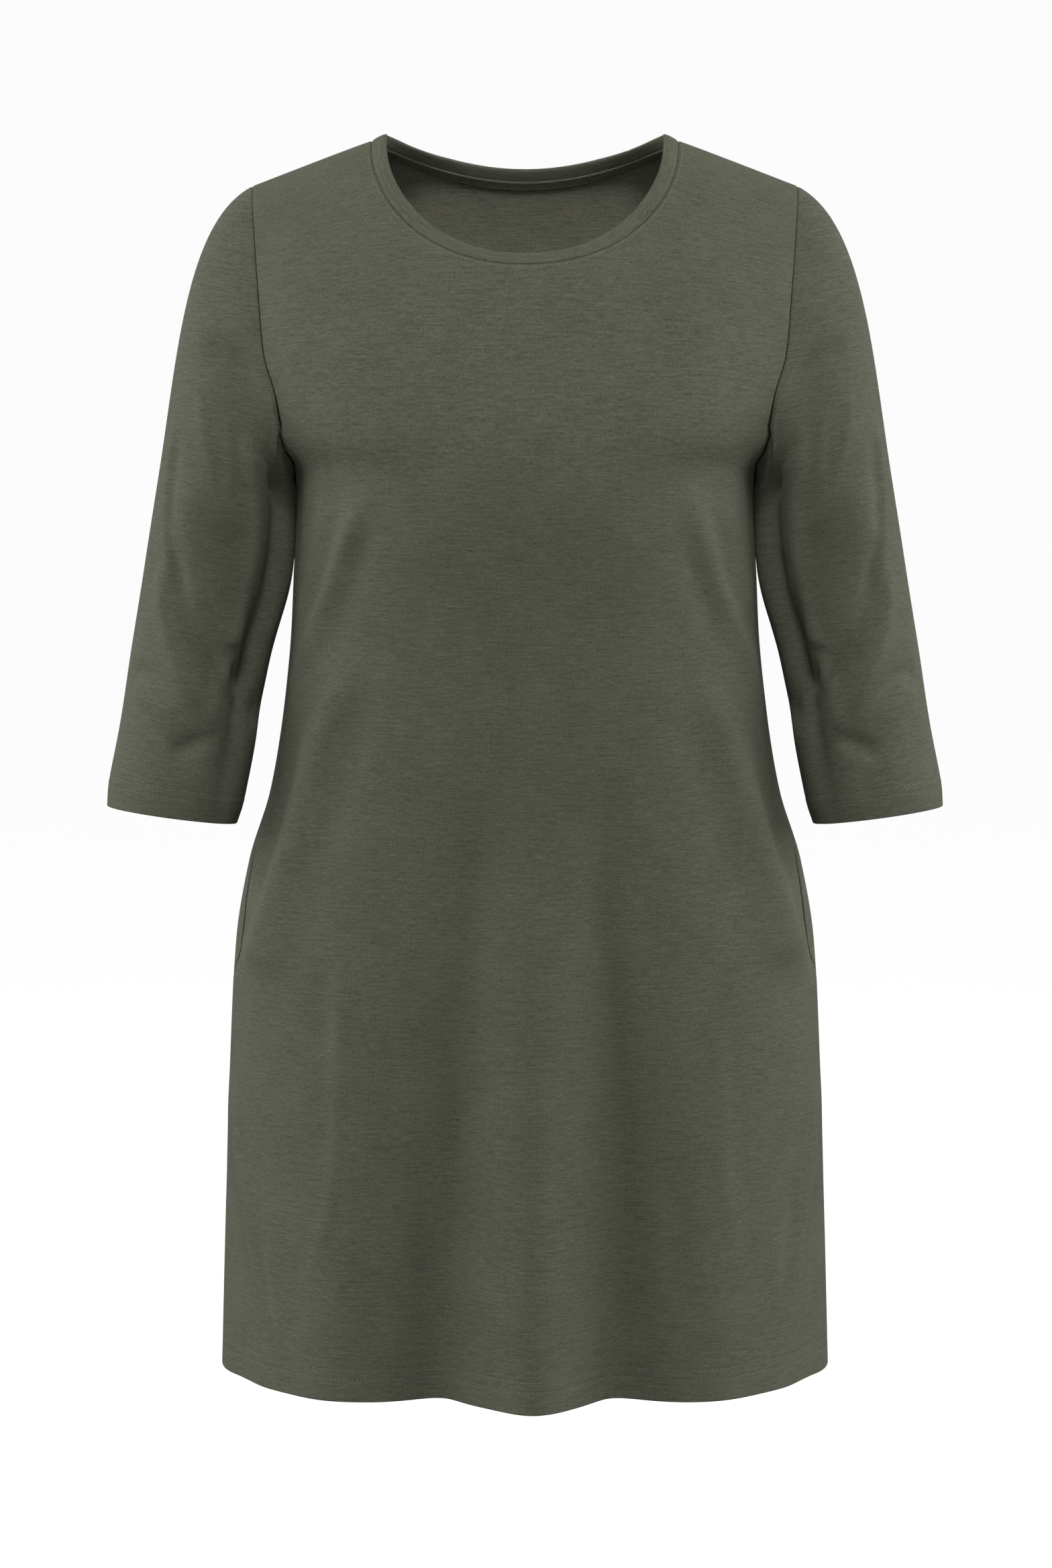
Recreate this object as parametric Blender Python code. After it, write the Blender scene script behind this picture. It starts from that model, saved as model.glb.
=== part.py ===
"""Tunic top: a long pullover in fine cotton jersey, with a scooped and banded neck, elbow-length
sleeves and pockets in the side seams. It is filled out as when worn, with nobody in it.

The body is one surface. A spot on it has two coordinates: turn, the angle round the body from the
centre line, and fall, how far it lies below the shoulder ridge, from 0 on the ridge to 1 level with
the underarm and on to the hem. Fall is positive down the front and negative down the back. Seams
are lines on that surface, and each piece is a patch between seams with its wall built inwards.

Metres, +Z up, the front faces -Y. The origin is midway between the two neck points.
"""

from collections import namedtuple
from math import pi, radians

import bmesh
import bpy
import numpy as np

# Driving sizes of the body
LENGTH = 0.861
ARMHOLE_DEPTH = 0.232
NECK_HALF_WIDTH = 0.106
FRONT_NECK_DROP = 0.094
BACK_NECK_DROP = 0.028
SHOULDER_SLOPE = 0.385
SLOPE_STARTS = 0.096
SLOPE_EASE = 0.010
SHOULDER_SEAM_FALL = -0.03
ARMHOLE_TURN = radians(61.5)
ARMHOLE_BENDS_AT = 0.85
BODY_FULLNESS = 0.12

# The neckline seen from the front: (across / half width) to one power and (drop / whole drop) to
# the other add up to 1, so equal powers near 2 make a round scoop and 2 with 1 a shallow bow
Scoop = namedtuple("Scoop", "drop across_power drop_power")
FRONT_SCOOP = Scoop(FRONT_NECK_DROP, 2.15, 2.15)
BACK_SCOOP = Scoop(BACK_NECK_DROP, 2.0, 1.0)

# Driving sizes of the cloth and its joins
CLOTH = 0.0016
BAND_CLOTH = 0.0022
BAND_WIDTH = 0.0108
TAPE_CLOTH = 0.0011
TAPE_WIDTH = 0.0076
TAPE_ABOVE_SEAM = 0.0016
SEAM_GAP = 0.0004

# The mouths of the pockets, which lie a little forward of the side
MOUTH_TOP = 0.455
MOUTH_LOW = 0.592
MOUTH_EASE_TOP = 0.050
MOUTH_EASE_LOW = 0.026
MOUTH_FORWARD = radians(11)
MOUTH_SLIT = radians(1.2)
POCKET_CLOTH = 0.0020
BAG_PAST_MOUTH = radians(3.5)
BAG_LIP_DEEPER = 0.0012

# How finely each piece is divided
COLUMNS = 13
ARMHOLE_ROWS = 16
SIDE_ROWS = (5, 5, 7)
FRONT_NECK_ROWS = 9
BACK_NECK_ROWS = 7
CENTRE_FALL_AT_UNDERARM = 1.10
CAP_ROWS = 5
ARM_ROWS = 8
POCKET_COLUMNS = 6
POCKET_ROWS = 8
SAME_POINT = 1e-6

JERSEY = (0.093, 0.098, 0.073)
JERSEY_ROUGHNESS = 0.9

# Sections of the body, by depth under the neck points: half its width, and how far the front and
# the back stand from the side seams
Section = namedtuple("Section", "depth half_width front back")
BODY = (
    Section(0.000, 0.215, 0.000, 0.000),
    Section(0.020, 0.2135, 0.038, 0.058),
    Section(0.057, 0.211, 0.065, 0.076),
    Section(0.100, 0.2075, 0.091, 0.086),
    Section(0.147, 0.203, 0.110, 0.093),
    Section(0.190, 0.188, 0.126, 0.097),
    Section(0.212, 0.175, 0.132, 0.098),
    Section(0.232, 0.160, 0.135, 0.097),
    Section(0.250, 0.159, 0.136, 0.095),
    Section(0.306, 0.1613, 0.129, 0.087),
    Section(0.343, 0.1629, 0.124, 0.081),
    Section(0.381, 0.1663, 0.121, 0.079),
    Section(0.418, 0.1712, 0.120, 0.082),
    Section(0.456, 0.1784, 0.121, 0.088),
    Section(0.504, 0.1932, 0.124, 0.099),
    Section(0.561, 0.2029, 0.129, 0.111),
    Section(0.637, 0.2070, 0.133, 0.119),
    Section(0.732, 0.2104, 0.138, 0.124),
    Section(0.861, 0.2142, 0.146, 0.129),
)

# The largest folds of the body: a line across the garment and down it, how wide the fold is, and
# how far it stands out, or sinks where negative, at its top and at its foot
Fold = namedtuple("Fold", "face across_top down_top across_low down_low width top foot")
BODY_FOLDS = (
    Fold("front", 0.004, 0.470, 0.005, 0.861, 0.027, 0.000, 0.027),
    Fold("front", -0.050, 0.480, -0.065, 0.861, 0.024, 0.000, -0.023),
    Fold("front", 0.053, 0.480, 0.068, 0.861, 0.024, 0.000, -0.022),
    Fold("front", -0.108, 0.560, -0.132, 0.861, 0.028, 0.000, 0.008),
    Fold("front", 0.108, 0.560, 0.130, 0.861, 0.028, 0.000, 0.007),
    Fold("front", -0.188, 0.640, -0.200, 0.861, 0.016, 0.000, -0.005),
    Fold("front", 0.188, 0.640, 0.200, 0.861, 0.016, 0.000, -0.005),
    Fold("front", -0.128, 0.380, -0.176, 0.560, 0.016, 0.003, 0.006),
    Fold("front", 0.132, 0.390, 0.176, 0.555, 0.016, 0.003, 0.006),
    Fold("front", -0.112, 0.255, -0.140, 0.350, 0.013, 0.004, 0.002),
    Fold("front", 0.114, 0.255, 0.142, 0.360, 0.013, 0.004, 0.002),
    Fold("back", 0.006, 0.420, 0.014, 0.861, 0.026, 0.000, -0.016),
    Fold("back", -0.052, 0.400, -0.064, 0.861, 0.025, 0.000, 0.017),
    Fold("back", 0.062, 0.430, 0.078, 0.861, 0.025, 0.000, 0.019),
    Fold("back", -0.108, 0.500, -0.128, 0.861, 0.024, 0.000, -0.012),
    Fold("back", 0.118, 0.520, 0.140, 0.861, 0.024, 0.000, -0.011),
    Fold("back", -0.158, 0.560, -0.176, 0.861, 0.020, 0.000, 0.009),
    Fold("back", -0.120, 0.300, 0.000, 0.350, 0.018, -0.003, -0.005),
    Fold("back", 0.120, 0.310, 0.010, 0.360, 0.018, -0.003, -0.004),
)
SIDE_FADE = 0.30
SIDE_FADE_POWER = 1.5

# Rings of the right sleeve, top to cuff: the ring's middle, its half width and half depth, and how
# many degrees its outer edge stands above its inner edge
Ring = namedtuple("Ring", "share x y z half_width half_depth lean")
ARM = (
    Ring(0.00, 0.2084, -0.004, -0.2500, 0.0480, 0.0540, 9.8),
    Ring(0.25, 0.2156, -0.005, -0.3060, 0.0498, 0.0530, 9.8),
    Ring(0.50, 0.2262, -0.010, -0.3616, 0.0480, 0.0505, 9.8),
    Ring(0.75, 0.2350, -0.017, -0.4170, 0.0474, 0.0488, 9.8),
    Ring(0.92, 0.2420, -0.022, -0.4535, 0.0474, 0.0478, 8.8),
    Ring(1.00, 0.2453, -0.024, -0.4710, 0.0454, 0.0460, 8.0),
)
ARM_LEAN = radians(9.8)
RING_FORWARD = radians(1.5)
CAP_START_PULL = 0.74
CAP_END_PULL = 1.16
CAP_START_OUT = 0.88
CAP_START_DOWN = 0.48
UNDERARM_OUT = 0.06
ARM_GIRTH = 0.32
ARM_LENGTH = 0.225

# Folds of a sleeve, with their places as shares: round it from the shoulder over the front, and
# down it, where 1 is the top ring and 2 the cuff
SLEEVE_FOLDS = (
    Fold("arm", 0.30, 1.15, 0.46, 1.62, 0.014, -0.004, -0.006),
    Fold("arm", 0.18, 1.05, 0.24, 1.60, 0.016, 0.004, 0.003),
    Fold("arm", 0.60, 1.30, 0.78, 1.55, 0.016, -0.003, -0.004),
    Fold("arm", 0.33, 0.70, 0.42, 1.10, 0.014, 0.003, 0.002),
)
SLEEVE_FOLDS_FULL_AT = 0.33

# How the band leans from the body's own surface at the centre front, the neck points and the back
BAND_LEAN_FRONT = radians(-13)
BAND_LEAN_SIDE = radians(10)
BAND_LEAN_BACK = radians(-4)

# The band's section from its seam to its rounded edge: how far up it as a share of its width, and
# how far its face has sunk there and how thick it is as shares of its cloth
BandRow = namedtuple("BandRow", "up sunk thick")
BAND_ROWS = (
    BandRow(0.00, 0.00, 1.00),
    BandRow(0.45, 0.00, 1.00),
    BandRow(0.85, 0.06, 0.88),
    BandRow(1.00, 0.36, 0.28),
)


def smooth_curve(at, values):
    """A smooth line through points, which doesn't swing past any of them."""
    at = np.asarray(at, float)
    values = np.asarray(values, float)
    steps = np.diff(at)
    slopes = np.diff(values) / steps
    tangents = np.zeros(len(at))
    tangents[0] = slopes[0]
    tangents[-1] = slopes[-1]
    same_way = slopes[:-1] * slopes[1:] > 0
    before = slopes[:-1][same_way]
    after = slopes[1:][same_way]
    tangents[1:-1][same_way] = 2 * before * after / (before + after)

    def read(where):
        where = np.clip(where, at[0], at[-1])
        k = np.clip(np.searchsorted(at, where, side="right") - 1, 0, len(steps) - 1)
        t = (where - at[k]) / steps[k]
        rise = values[k] * (2 * t**3 - 3 * t**2 + 1) + values[k + 1] * (3 * t**2 - 2 * t**3)
        turn = tangents[k] * (t**3 - 2 * t**2 + t) + tangents[k + 1] * (t**3 - t**2)
        return rise + steps[k] * turn

    return read


def fall_of(depth):
    """Fall goes with the root of the depth over the shoulders, so the ridge is round, then evenly."""
    share = np.asarray(depth, float) / ARMHOLE_DEPTH
    return np.where(share < 1, np.sqrt(np.minimum(share, 1)), (share + 1) / 2)


def depth_of(fall):
    a = np.abs(fall)
    return ARMHOLE_DEPTH * np.where(a < 1, a * a, 2 * a - 1)


BODY_FALLS = fall_of([row.depth for row in BODY])
half_width = smooth_curve(BODY_FALLS, [row.half_width for row in BODY])
front_reach = smooth_curve(BODY_FALLS, [row.front for row in BODY])
back_reach = smooth_curve(BODY_FALLS, [row.back for row in BODY])
HEM_FALL = float(fall_of(LENGTH))


def folded(folds, across, down):
    """How far the cloth stands out at a place, from the folds that pass near it."""
    total = np.zeros_like(across)
    for fold in folds:
        line = np.array([fold.across_low - fold.across_top, fold.down_low - fold.down_top])
        from_top = np.stack([across - fold.across_top, down - fold.down_top], axis=-1)
        share = np.clip(from_top @ line / (line @ line), 0, 1)
        away = np.linalg.norm(from_top - share[..., None] * line, axis=-1)
        total += (fold.top + (fold.foot - fold.top) * share) * np.exp(-((away / fold.width) ** 2))
    return total


def body(spots):
    """Points of the body's outer surface, for an array of (turn, fall)."""
    turn, fall = spots[..., 0], spots[..., 1]
    a = np.abs(fall)
    front = (fall > 0) == (np.cos(turn) > 0)
    reach = np.where(front, front_reach(a), back_reach(a))
    outward = np.where(front, -1.0, 1.0)
    x = half_width(a) * np.sin(turn)
    y = outward * reach * np.abs(np.cos(turn)) * (1 + BODY_FULLNESS * np.sin(turn) ** 2)
    depth = depth_of(fall)
    beyond = np.abs(x) - SLOPE_STARTS
    drop = SHOULDER_SLOPE * (np.sqrt(beyond**2 + SLOPE_EASE**2) + beyond) / 2
    z = -depth - drop * np.clip(1 - depth / ARMHOLE_DEPTH, 0, 1) ** 2
    stands = np.where(
        front,
        folded([fold for fold in BODY_FOLDS if fold.face == "front"], x, depth),
        folded([fold for fold in BODY_FOLDS if fold.face == "back"], x, depth),
    )
    stands = stands * np.clip(np.abs(np.cos(turn)) / SIDE_FADE, 0, 1) ** SIDE_FADE_POWER
    x = x + stands * np.sin(turn)
    y = y + stands * outward * np.abs(np.cos(turn))
    return np.stack([x, y, z], axis=-1)


def unit(vectors):
    return vectors / np.linalg.norm(vectors, axis=-1, keepdims=True)


def normals(surface, spots, step=1e-4):
    """Outward normals of a surface whose two coordinates turn the same way as the body's."""
    round_it = np.array([step, 0.0])
    down_it = np.array([0.0, step])
    along = surface(spots + down_it) - surface(spots - down_it)
    around = surface(spots + round_it) - surface(spots - round_it)
    return unit(np.cross(along, around))


def evenly(path, count):
    """count + 1 spots at equal steps of real length along a path on the body."""
    points = body(path)
    lengths = np.r_[0, np.cumsum(np.linalg.norm(np.diff(points, axis=0), axis=1))]
    stops = np.linspace(0, lengths[-1], count + 1)
    return np.column_stack([np.interp(stops, lengths, path[:, k]) for k in (0, 1)])


def neckline(face, count, fine=400):
    """The band's seam on the right half, from the shoulder seam to the centre line."""
    share = SHOULDER_SEAM_FALL**2 * ARMHOLE_DEPTH / BACK_NECK_DROP
    at_shoulder = -np.arcsin(share ** (BACK_SCOOP.drop_power / 2))
    swing = np.linspace(at_shoulder, face * pi / 2, fine)
    scoops = [np.where(swing > 0, front, back) for front, back in zip(FRONT_SCOOP, BACK_SCOOP)]
    scoop = Scoop(*scoops)
    depth = scoop.drop * np.abs(np.sin(swing)) ** (2 / scoop.drop_power)
    fall = np.sign(swing) * fall_of(depth)
    x = NECK_HALF_WIDTH * np.clip(np.cos(swing), 0, 1) ** (2 / scoop.across_power)
    turn = np.arcsin(x / half_width(np.abs(fall)))
    return evenly(np.column_stack([turn, fall]), count)


def armhole(face, count, fine=200):
    """The right sleeve's seam, from the shoulder seam to the underarm."""
    straight = np.linspace(SHOULDER_SEAM_FALL, face * ARMHOLE_BENDS_AT, fine)
    bend = np.linspace(0, pi / 2, fine)
    turn = ARMHOLE_TURN + (pi / 2 - ARMHOLE_TURN) * (1 - np.cos(bend))
    fall = face * (ARMHOLE_BENDS_AT + (1 - ARMHOLE_BENDS_AT) * np.sin(bend))
    path = np.column_stack([np.r_[np.full(fine, ARMHOLE_TURN), turn], np.r_[straight, fall]])
    return evenly(path, count)


def side_seam(face):
    """The right side from the underarm to the hem, with the pocket's mouth forward of it."""
    stops = [ARMHOLE_DEPTH, MOUTH_TOP, MOUTH_LOW, LENGTH]
    depths = [ARMHOLE_DEPTH]
    for start, end, rows in zip(stops, stops[1:], SIDE_ROWS):
        depths.extend(np.linspace(start, end, rows + 1)[1:])
    depths = np.array(depths)
    opens = np.clip((depths - MOUTH_TOP) / MOUTH_EASE_TOP, 0, 1)
    closes = np.clip((MOUTH_LOW - depths) / MOUTH_EASE_LOW, 0, 1)
    mouth = np.minimum(opens, closes)
    half_gap = SEAM_GAP / 2 / np.where(face > 0, front_reach(1.0), back_reach(1.0))
    turn = pi / 2 - half_gap - face * mouth * MOUTH_FORWARD
    if face < 0:
        turn = turn - mouth * MOUTH_SLIT
    return np.column_stack([turn, face * fall_of(depths)])


def half_panel(face, neck_rows):
    """Spots of the right half of a panel, rows from the shoulder to the hem."""
    outer_edge = np.vstack([armhole(face, ARMHOLE_ROWS)[:-1], side_seam(face)])
    neck = neckline(face, neck_rows)
    level = face * CENTRE_FALL_AT_UNDERARM
    chest = np.linspace(neck[-1, 1], level, ARMHOLE_ROWS - neck_rows + 1)[1:]
    skirt = np.linspace(level, face * HEM_FALL, sum(SIDE_ROWS) + 1)[1:]
    below = np.r_[chest, skirt]
    inner_edge = np.vstack([neck, np.column_stack([0 * below, below])])
    inner_edge[neck_rows, 0] = 0
    for edge in (inner_edge, outer_edge):
        edge[0, 1] += face * SEAM_GAP / 2 / front_reach(1.0)
    share = np.linspace(0, 1, COLUMNS + 1)[None, :, None]
    return inner_edge[:, None, :] + (outer_edge - inner_edge)[:, None, :] * share


def sheet_of(spots):
    """A grid of faces whose points hold their spots on the surface."""
    rows, columns = spots.shape[:2]
    sheet = bmesh.new()
    bmesh.ops.create_grid(sheet, x_segments=columns - 1, y_segments=rows - 1, size=1)
    for vert, spot in zip(sheet.verts, spots.reshape(-1, 2)):
        vert.co = (spot[0], spot[1], 0)
    return sheet


def spots_of(sheet):
    return np.array([vert.co[:2] for vert in sheet.verts])


def sew(name, sheet, outer, inner):
    """Gives a sheet its outer points and a wall that reaches its inner points, as one object."""
    wall = sheet.verts.layers.float_vector.new("wall")
    for vert, out, within in zip(sheet.verts, outer, inner):
        vert.co = out
        vert[wall] = within - out
    bmesh.ops.remove_doubles(sheet, verts=sheet.verts[:], dist=SAME_POINT)
    copied = bmesh.ops.extrude_face_region(sheet, geom=sheet.faces[:], use_keep_orig=True)
    for item in copied["geom"]:
        if isinstance(item, bmesh.types.BMVert):
            item.co += item[wall]
    bmesh.ops.recalc_face_normals(sheet, faces=sheet.faces[:])
    mesh = bpy.data.meshes.new(name)
    sheet.to_mesh(mesh)
    sheet.free()
    mesh.shade_smooth()
    mesh.materials.append(jersey)
    piece = bpy.data.objects.new(name, mesh)
    garment.objects.link(piece)
    return piece


def make_panel(name, face, neck_rows):
    sheet = sheet_of(half_panel(face, neck_rows))
    right_half = sheet.verts[:] + sheet.edges[:] + sheet.faces[:]
    bmesh.ops.mirror(sheet, geom=right_half, axis="X", merge_dist=SAME_POINT)
    spots = spots_of(sheet)
    outer = body(spots)
    return sew(name, sheet, outer, outer - CLOTH * normals(body, spots))


def seam_frame(points, outward):
    """Across a closed seam: the unit direction in the cloth, to the side that the seam opens to."""
    along = np.roll(points, -1, axis=0) - np.roll(points, 1, axis=0)
    return unit(np.cross(outward, along))


def make_neckband():
    """The folded band, from its seam to its folded edge, all round the neck."""
    right = np.vstack([neckline(1, FRONT_NECK_ROWS)[::-1], neckline(-1, BACK_NECK_ROWS)[1:]])
    left = right[-2:0:-1] * [-1, 1]
    spots = np.vstack([right, left])
    seam = body(spots)
    outward = normals(body, spots)
    across = seam_frame(seam, outward)
    to_side = (np.abs(seam[:, 0]) / NECK_HALF_WIDTH) ** 2
    middle_lean = np.where(spots[:, 1] > 0, BAND_LEAN_FRONT, BAND_LEAN_BACK)
    lean = (middle_lean + (BAND_LEAN_SIDE - middle_lean) * to_side)[:, None]
    rising = across * np.cos(lean) + outward * np.sin(lean)
    facing = outward * np.cos(lean) - across * np.sin(lean)
    base = seam + SEAM_GAP * across
    outer, inner = [], []
    for row in BAND_ROWS:
        face_way = outward if row.up == 0 else facing
        surface = base + row.up * BAND_WIDTH * rising - row.sunk * BAND_CLOTH * face_way
        outer.append(surface)
        inner.append(surface - row.thick * BAND_CLOTH * face_way)
    outer = np.array(outer)
    inner = np.array(inner)
    closed = np.arange(len(spots) + 1) % len(spots)
    outer = outer[:, closed]
    inner = inner[:, closed]
    sheet = sheet_of(np.zeros(outer.shape[:2] + (2,)))
    return sew("neckband", sheet, outer.reshape(-1, 3), inner.reshape(-1, 3))


def make_neck_tape():
    """The strip inside the back neck, laid over the band's seam from shoulder to shoulder."""
    right = neckline(-1, BACK_NECK_ROWS)
    spots = np.vstack([right[:-1] * [-1, 1], right[::-1]])
    seam = body(spots)
    outward = normals(body, spots)
    along = np.gradient(seam, axis=0)
    up = unit(np.cross(along, outward))
    up = np.where(up[:, 2:3] < 0, -up, up)
    clear = BAND_CLOTH + SEAM_GAP
    heights = (TAPE_ABOVE_SEAM, TAPE_ABOVE_SEAM - TAPE_WIDTH / 2, TAPE_ABOVE_SEAM - TAPE_WIDTH)
    outer = np.array([seam + height * up - clear * outward for height in heights])
    inner = outer - TAPE_CLOTH * outward
    sheet = sheet_of(np.zeros(outer.shape[:2] + (2,)))
    return sew("neck_tape", sheet, outer.reshape(-1, 3), inner.reshape(-1, 3))


def make_pocket_bag(name, side):
    """The flat bag behind a pocket's mouth, made from the front panel's own points."""
    panel = half_panel(1, FRONT_NECK_ROWS)
    first = ARMHOLE_ROWS + SIDE_ROWS[0]
    spots = panel[first : first + POCKET_ROWS + 1, COLUMNS - POCKET_COLUMNS :]
    lip = spots[:, -1:] + [BAG_PAST_MOUTH, 0]
    lip[:, :, 0] = np.minimum(lip[:, :, 0], pi / 2)
    spots = np.hstack([spots[:, :-1], lip]) * [side, 1]
    outward = normals(body, spots)
    deeper = np.zeros(spots.shape[:2] + (1,))
    deeper[:, -1] = BAG_LIP_DEEPER
    outer = body(spots) - (CLOTH + SEAM_GAP + deeper) * outward
    inner = outer - POCKET_CLOTH * outward
    return sew(name, sheet_of(spots), outer.reshape(-1, 3), inner.reshape(-1, 3))


arm_share = [ring.share for ring in ARM]
arm_curves = {
    column: smooth_curve(arm_share, [getattr(ring, column) for ring in ARM])
    for column in ("x", "y", "z", "half_width", "half_depth", "lean")
}


def arm_ring(round_share, share):
    """Points of the sleeve's tube: round from the outside over the front, share 0 to 1 down it."""
    read = {column: curve(share)[..., None] for column, curve in arm_curves.items()}
    middle = np.concatenate([read["x"], read["y"], read["z"]], axis=-1)
    swing = (2 * pi * round_share)[..., None]
    lean = np.radians(read["lean"])
    sideways = np.concatenate([np.cos(lean), 0 * lean, np.sin(lean)], axis=-1)
    forward = np.array([0, -np.cos(RING_FORWARD), np.sin(RING_FORWARD)])
    reach_out = read["half_width"] * np.cos(swing) * sideways
    return middle + reach_out + read["half_depth"] * np.sin(swing) * forward


front_armhole = armhole(1, ARMHOLE_ROWS)
back_armhole = armhole(-1, ARMHOLE_ROWS)
armhole_spots = np.vstack([front_armhole, back_armhole[-2::-1]])
armhole_points = body(armhole_spots)
armhole_normals = normals(body, armhole_spots)
armhole_across = seam_frame(armhole_points[:-1], armhole_normals[:-1])
armhole_across = np.vstack([armhole_across, armhole_across[:1]])
armhole_shares = np.linspace(0, 1, len(armhole_points))


def leaving(round_share):
    """The way the sleeve sets off from its seam: outwards at the shoulder, down at the underarm."""
    out = 1 - ((1 - np.cos(2 * pi * round_share)) / 2) ** 3
    down = CAP_START_DOWN + (1 - CAP_START_DOWN) * (1 - out)
    return unit(np.stack([CAP_START_OUT * out + UNDERARM_OUT, 0 * out, -down], axis=-1))


# The sleeve's cut edge stands off the panels' edge along the half angle between the two cloths
armhole_leaving = leaving(armhole_shares)
bend = np.arctan2(
    np.sum(armhole_leaving * armhole_normals, axis=-1),
    np.sum(armhole_leaving * armhole_across, axis=-1),
)[:, None]
sleeve_edge = armhole_points + SEAM_GAP * (
    np.cos(bend / 2) * armhole_across + np.sin(bend / 2) * armhole_normals
)


def around_armhole(values, round_share):
    wrapped = np.mod(round_share, 1.0)
    return np.stack([np.interp(wrapped, armhole_shares, values[:, k]) for k in range(3)], axis=-1)


def sleeve(spots):
    """Points of the right sleeve: round share, and down it, 0 at the seam, 1 the top ring, 2 the cuff."""
    round_share, down = spots[..., 0], spots[..., 1]
    in_cap = np.clip(down, 0, 1)[..., None]
    swing = 2 * pi * round_share
    start = around_armhole(sleeve_edge, round_share)
    ring = arm_ring(round_share, np.zeros_like(round_share))
    span = np.linalg.norm(ring - start, axis=-1, keepdims=True)
    down_arm = np.array([np.sin(ARM_LEAN), 0, -np.cos(ARM_LEAN)])
    t = in_cap
    cap = start * (2 * t**3 - 3 * t**2 + 1) + ring * (3 * t**2 - 2 * t**3)
    cap = cap + CAP_START_PULL * span * leaving(round_share) * (t**3 - 2 * t**2 + t)
    cap = cap + CAP_END_PULL * span * down_arm * (t**3 - t**2)
    tube = arm_ring(round_share, np.clip(down - 1, 0, 1))
    points = np.where(down[..., None] < 1, cap, tube)
    wrapped = np.mod(round_share, 1.0)
    folds = [
        fold._replace(
            across_top=fold.across_top * ARM_GIRTH,
            across_low=fold.across_low * ARM_GIRTH,
            down_top=fold.down_top * ARM_LENGTH,
            down_low=fold.down_low * ARM_LENGTH,
        )
        for fold in SLEEVE_FOLDS
    ]
    stands = folded(folds, wrapped * ARM_GIRTH, down * ARM_LENGTH)
    stands = stands * np.clip(down / SLEEVE_FOLDS_FULL_AT, 0, 1)
    outward = np.cos(swing)[..., None] * np.array([1.0, 0, 0])
    outward = outward + np.sin(swing)[..., None] * np.array([0, -1.0, 0])
    return points + stands[..., None] * outward


def make_sleeve(name, side):
    """A tube from the armhole to the cuff, whose first points lie along the panels' own edges.

    Its shares run round the other way from the body's angle, so its normals are turned about.
    """
    round_share = np.linspace(0, 1, len(armhole_points))
    down = np.r_[np.linspace(0, 1, CAP_ROWS + 1), np.linspace(1, 2, ARM_ROWS + 1)[1:]]
    spots = np.stack(np.meshgrid(round_share, down), axis=-1)
    outer = sleeve(spots)
    outward = -normals(sleeve, spots)
    outward[:, -1] = outward[:, 0]
    outer[:, -1] = outer[:, 0]
    inner = outer - CLOTH * outward
    mirrored = np.array([side, 1, 1])
    outer = (outer * mirrored).reshape(-1, 3)
    inner = (inner * mirrored).reshape(-1, 3)
    return sew(name, sheet_of(spots), outer, inner)


# Clear what is there
for old in list(bpy.data.objects):
    bpy.data.objects.remove(old, do_unlink=True)

garment = bpy.data.collections.new("tunic_top")
bpy.context.scene.collection.children.link(garment)

# Heathered olive-grey jersey
jersey = bpy.data.materials.new("jersey")
jersey.use_nodes = True
finish = jersey.node_tree.nodes["Principled BSDF"]
finish.inputs["Base Color"].default_value = (*JERSEY, 1)
finish.inputs["Roughness"].default_value = JERSEY_ROUGHNESS
finish.inputs["Metallic"].default_value = 0

# The pieces, in the order they are sewn
make_panel("front_panel", 1, FRONT_NECK_ROWS)
make_panel("back_panel", -1, BACK_NECK_ROWS)
make_neckband()
make_neck_tape()
make_sleeve("sleeve_right", 1)
make_sleeve("sleeve_left", -1)
make_pocket_bag("pocket_bag_right", 1)
make_pocket_bag("pocket_bag_left", -1)
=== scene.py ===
"""Tunic top, dressed: a long pullover in fine heathered cotton jersey, filled out as when worn.

Each piece of cloth is a fine shell laid on the same surface as its solid, with its creases, hems,
seams and stitches. Metres, +Z up, the front faces -Y, the origin lies between the neck points.
"""

from collections import namedtuple
from math import pi, radians

import bmesh
import bpy
import numpy as np
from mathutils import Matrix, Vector


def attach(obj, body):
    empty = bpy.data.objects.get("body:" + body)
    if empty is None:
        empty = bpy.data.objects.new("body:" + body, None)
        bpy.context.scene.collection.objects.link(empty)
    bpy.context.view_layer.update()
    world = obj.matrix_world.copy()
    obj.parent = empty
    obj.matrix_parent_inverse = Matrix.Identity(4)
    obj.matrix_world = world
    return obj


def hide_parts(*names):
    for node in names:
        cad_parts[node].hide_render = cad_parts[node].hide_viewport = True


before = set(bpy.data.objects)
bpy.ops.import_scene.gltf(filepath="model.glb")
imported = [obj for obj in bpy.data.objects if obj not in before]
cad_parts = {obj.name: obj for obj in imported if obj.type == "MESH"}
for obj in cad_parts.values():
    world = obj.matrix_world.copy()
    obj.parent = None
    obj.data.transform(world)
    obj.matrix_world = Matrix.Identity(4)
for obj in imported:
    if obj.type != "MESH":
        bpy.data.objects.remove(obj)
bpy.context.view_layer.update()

# Camera, light and floor
# The top hangs as when worn, seen straight from the front and from a little above its middle.
# A pale floor lies well below the hem, and large soft lamps stand before it and above it.
CAMERA_PLACE = (0.0007, -2.84, -0.246)
CAMERA_PITCH = radians(4.137)
LENS_MM = 93.28
SENSOR_MM = 36.0
FLOOR_HEIGHT = -1.40
FLOOR_SIZE = 30.0
BACKDROP_WHITE = 0.97
FILL_LIGHT = 0.06
FLOOR_GLOW = 0.95
Lamp = namedtuple("Lamp", "name place aim size power")
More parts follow.
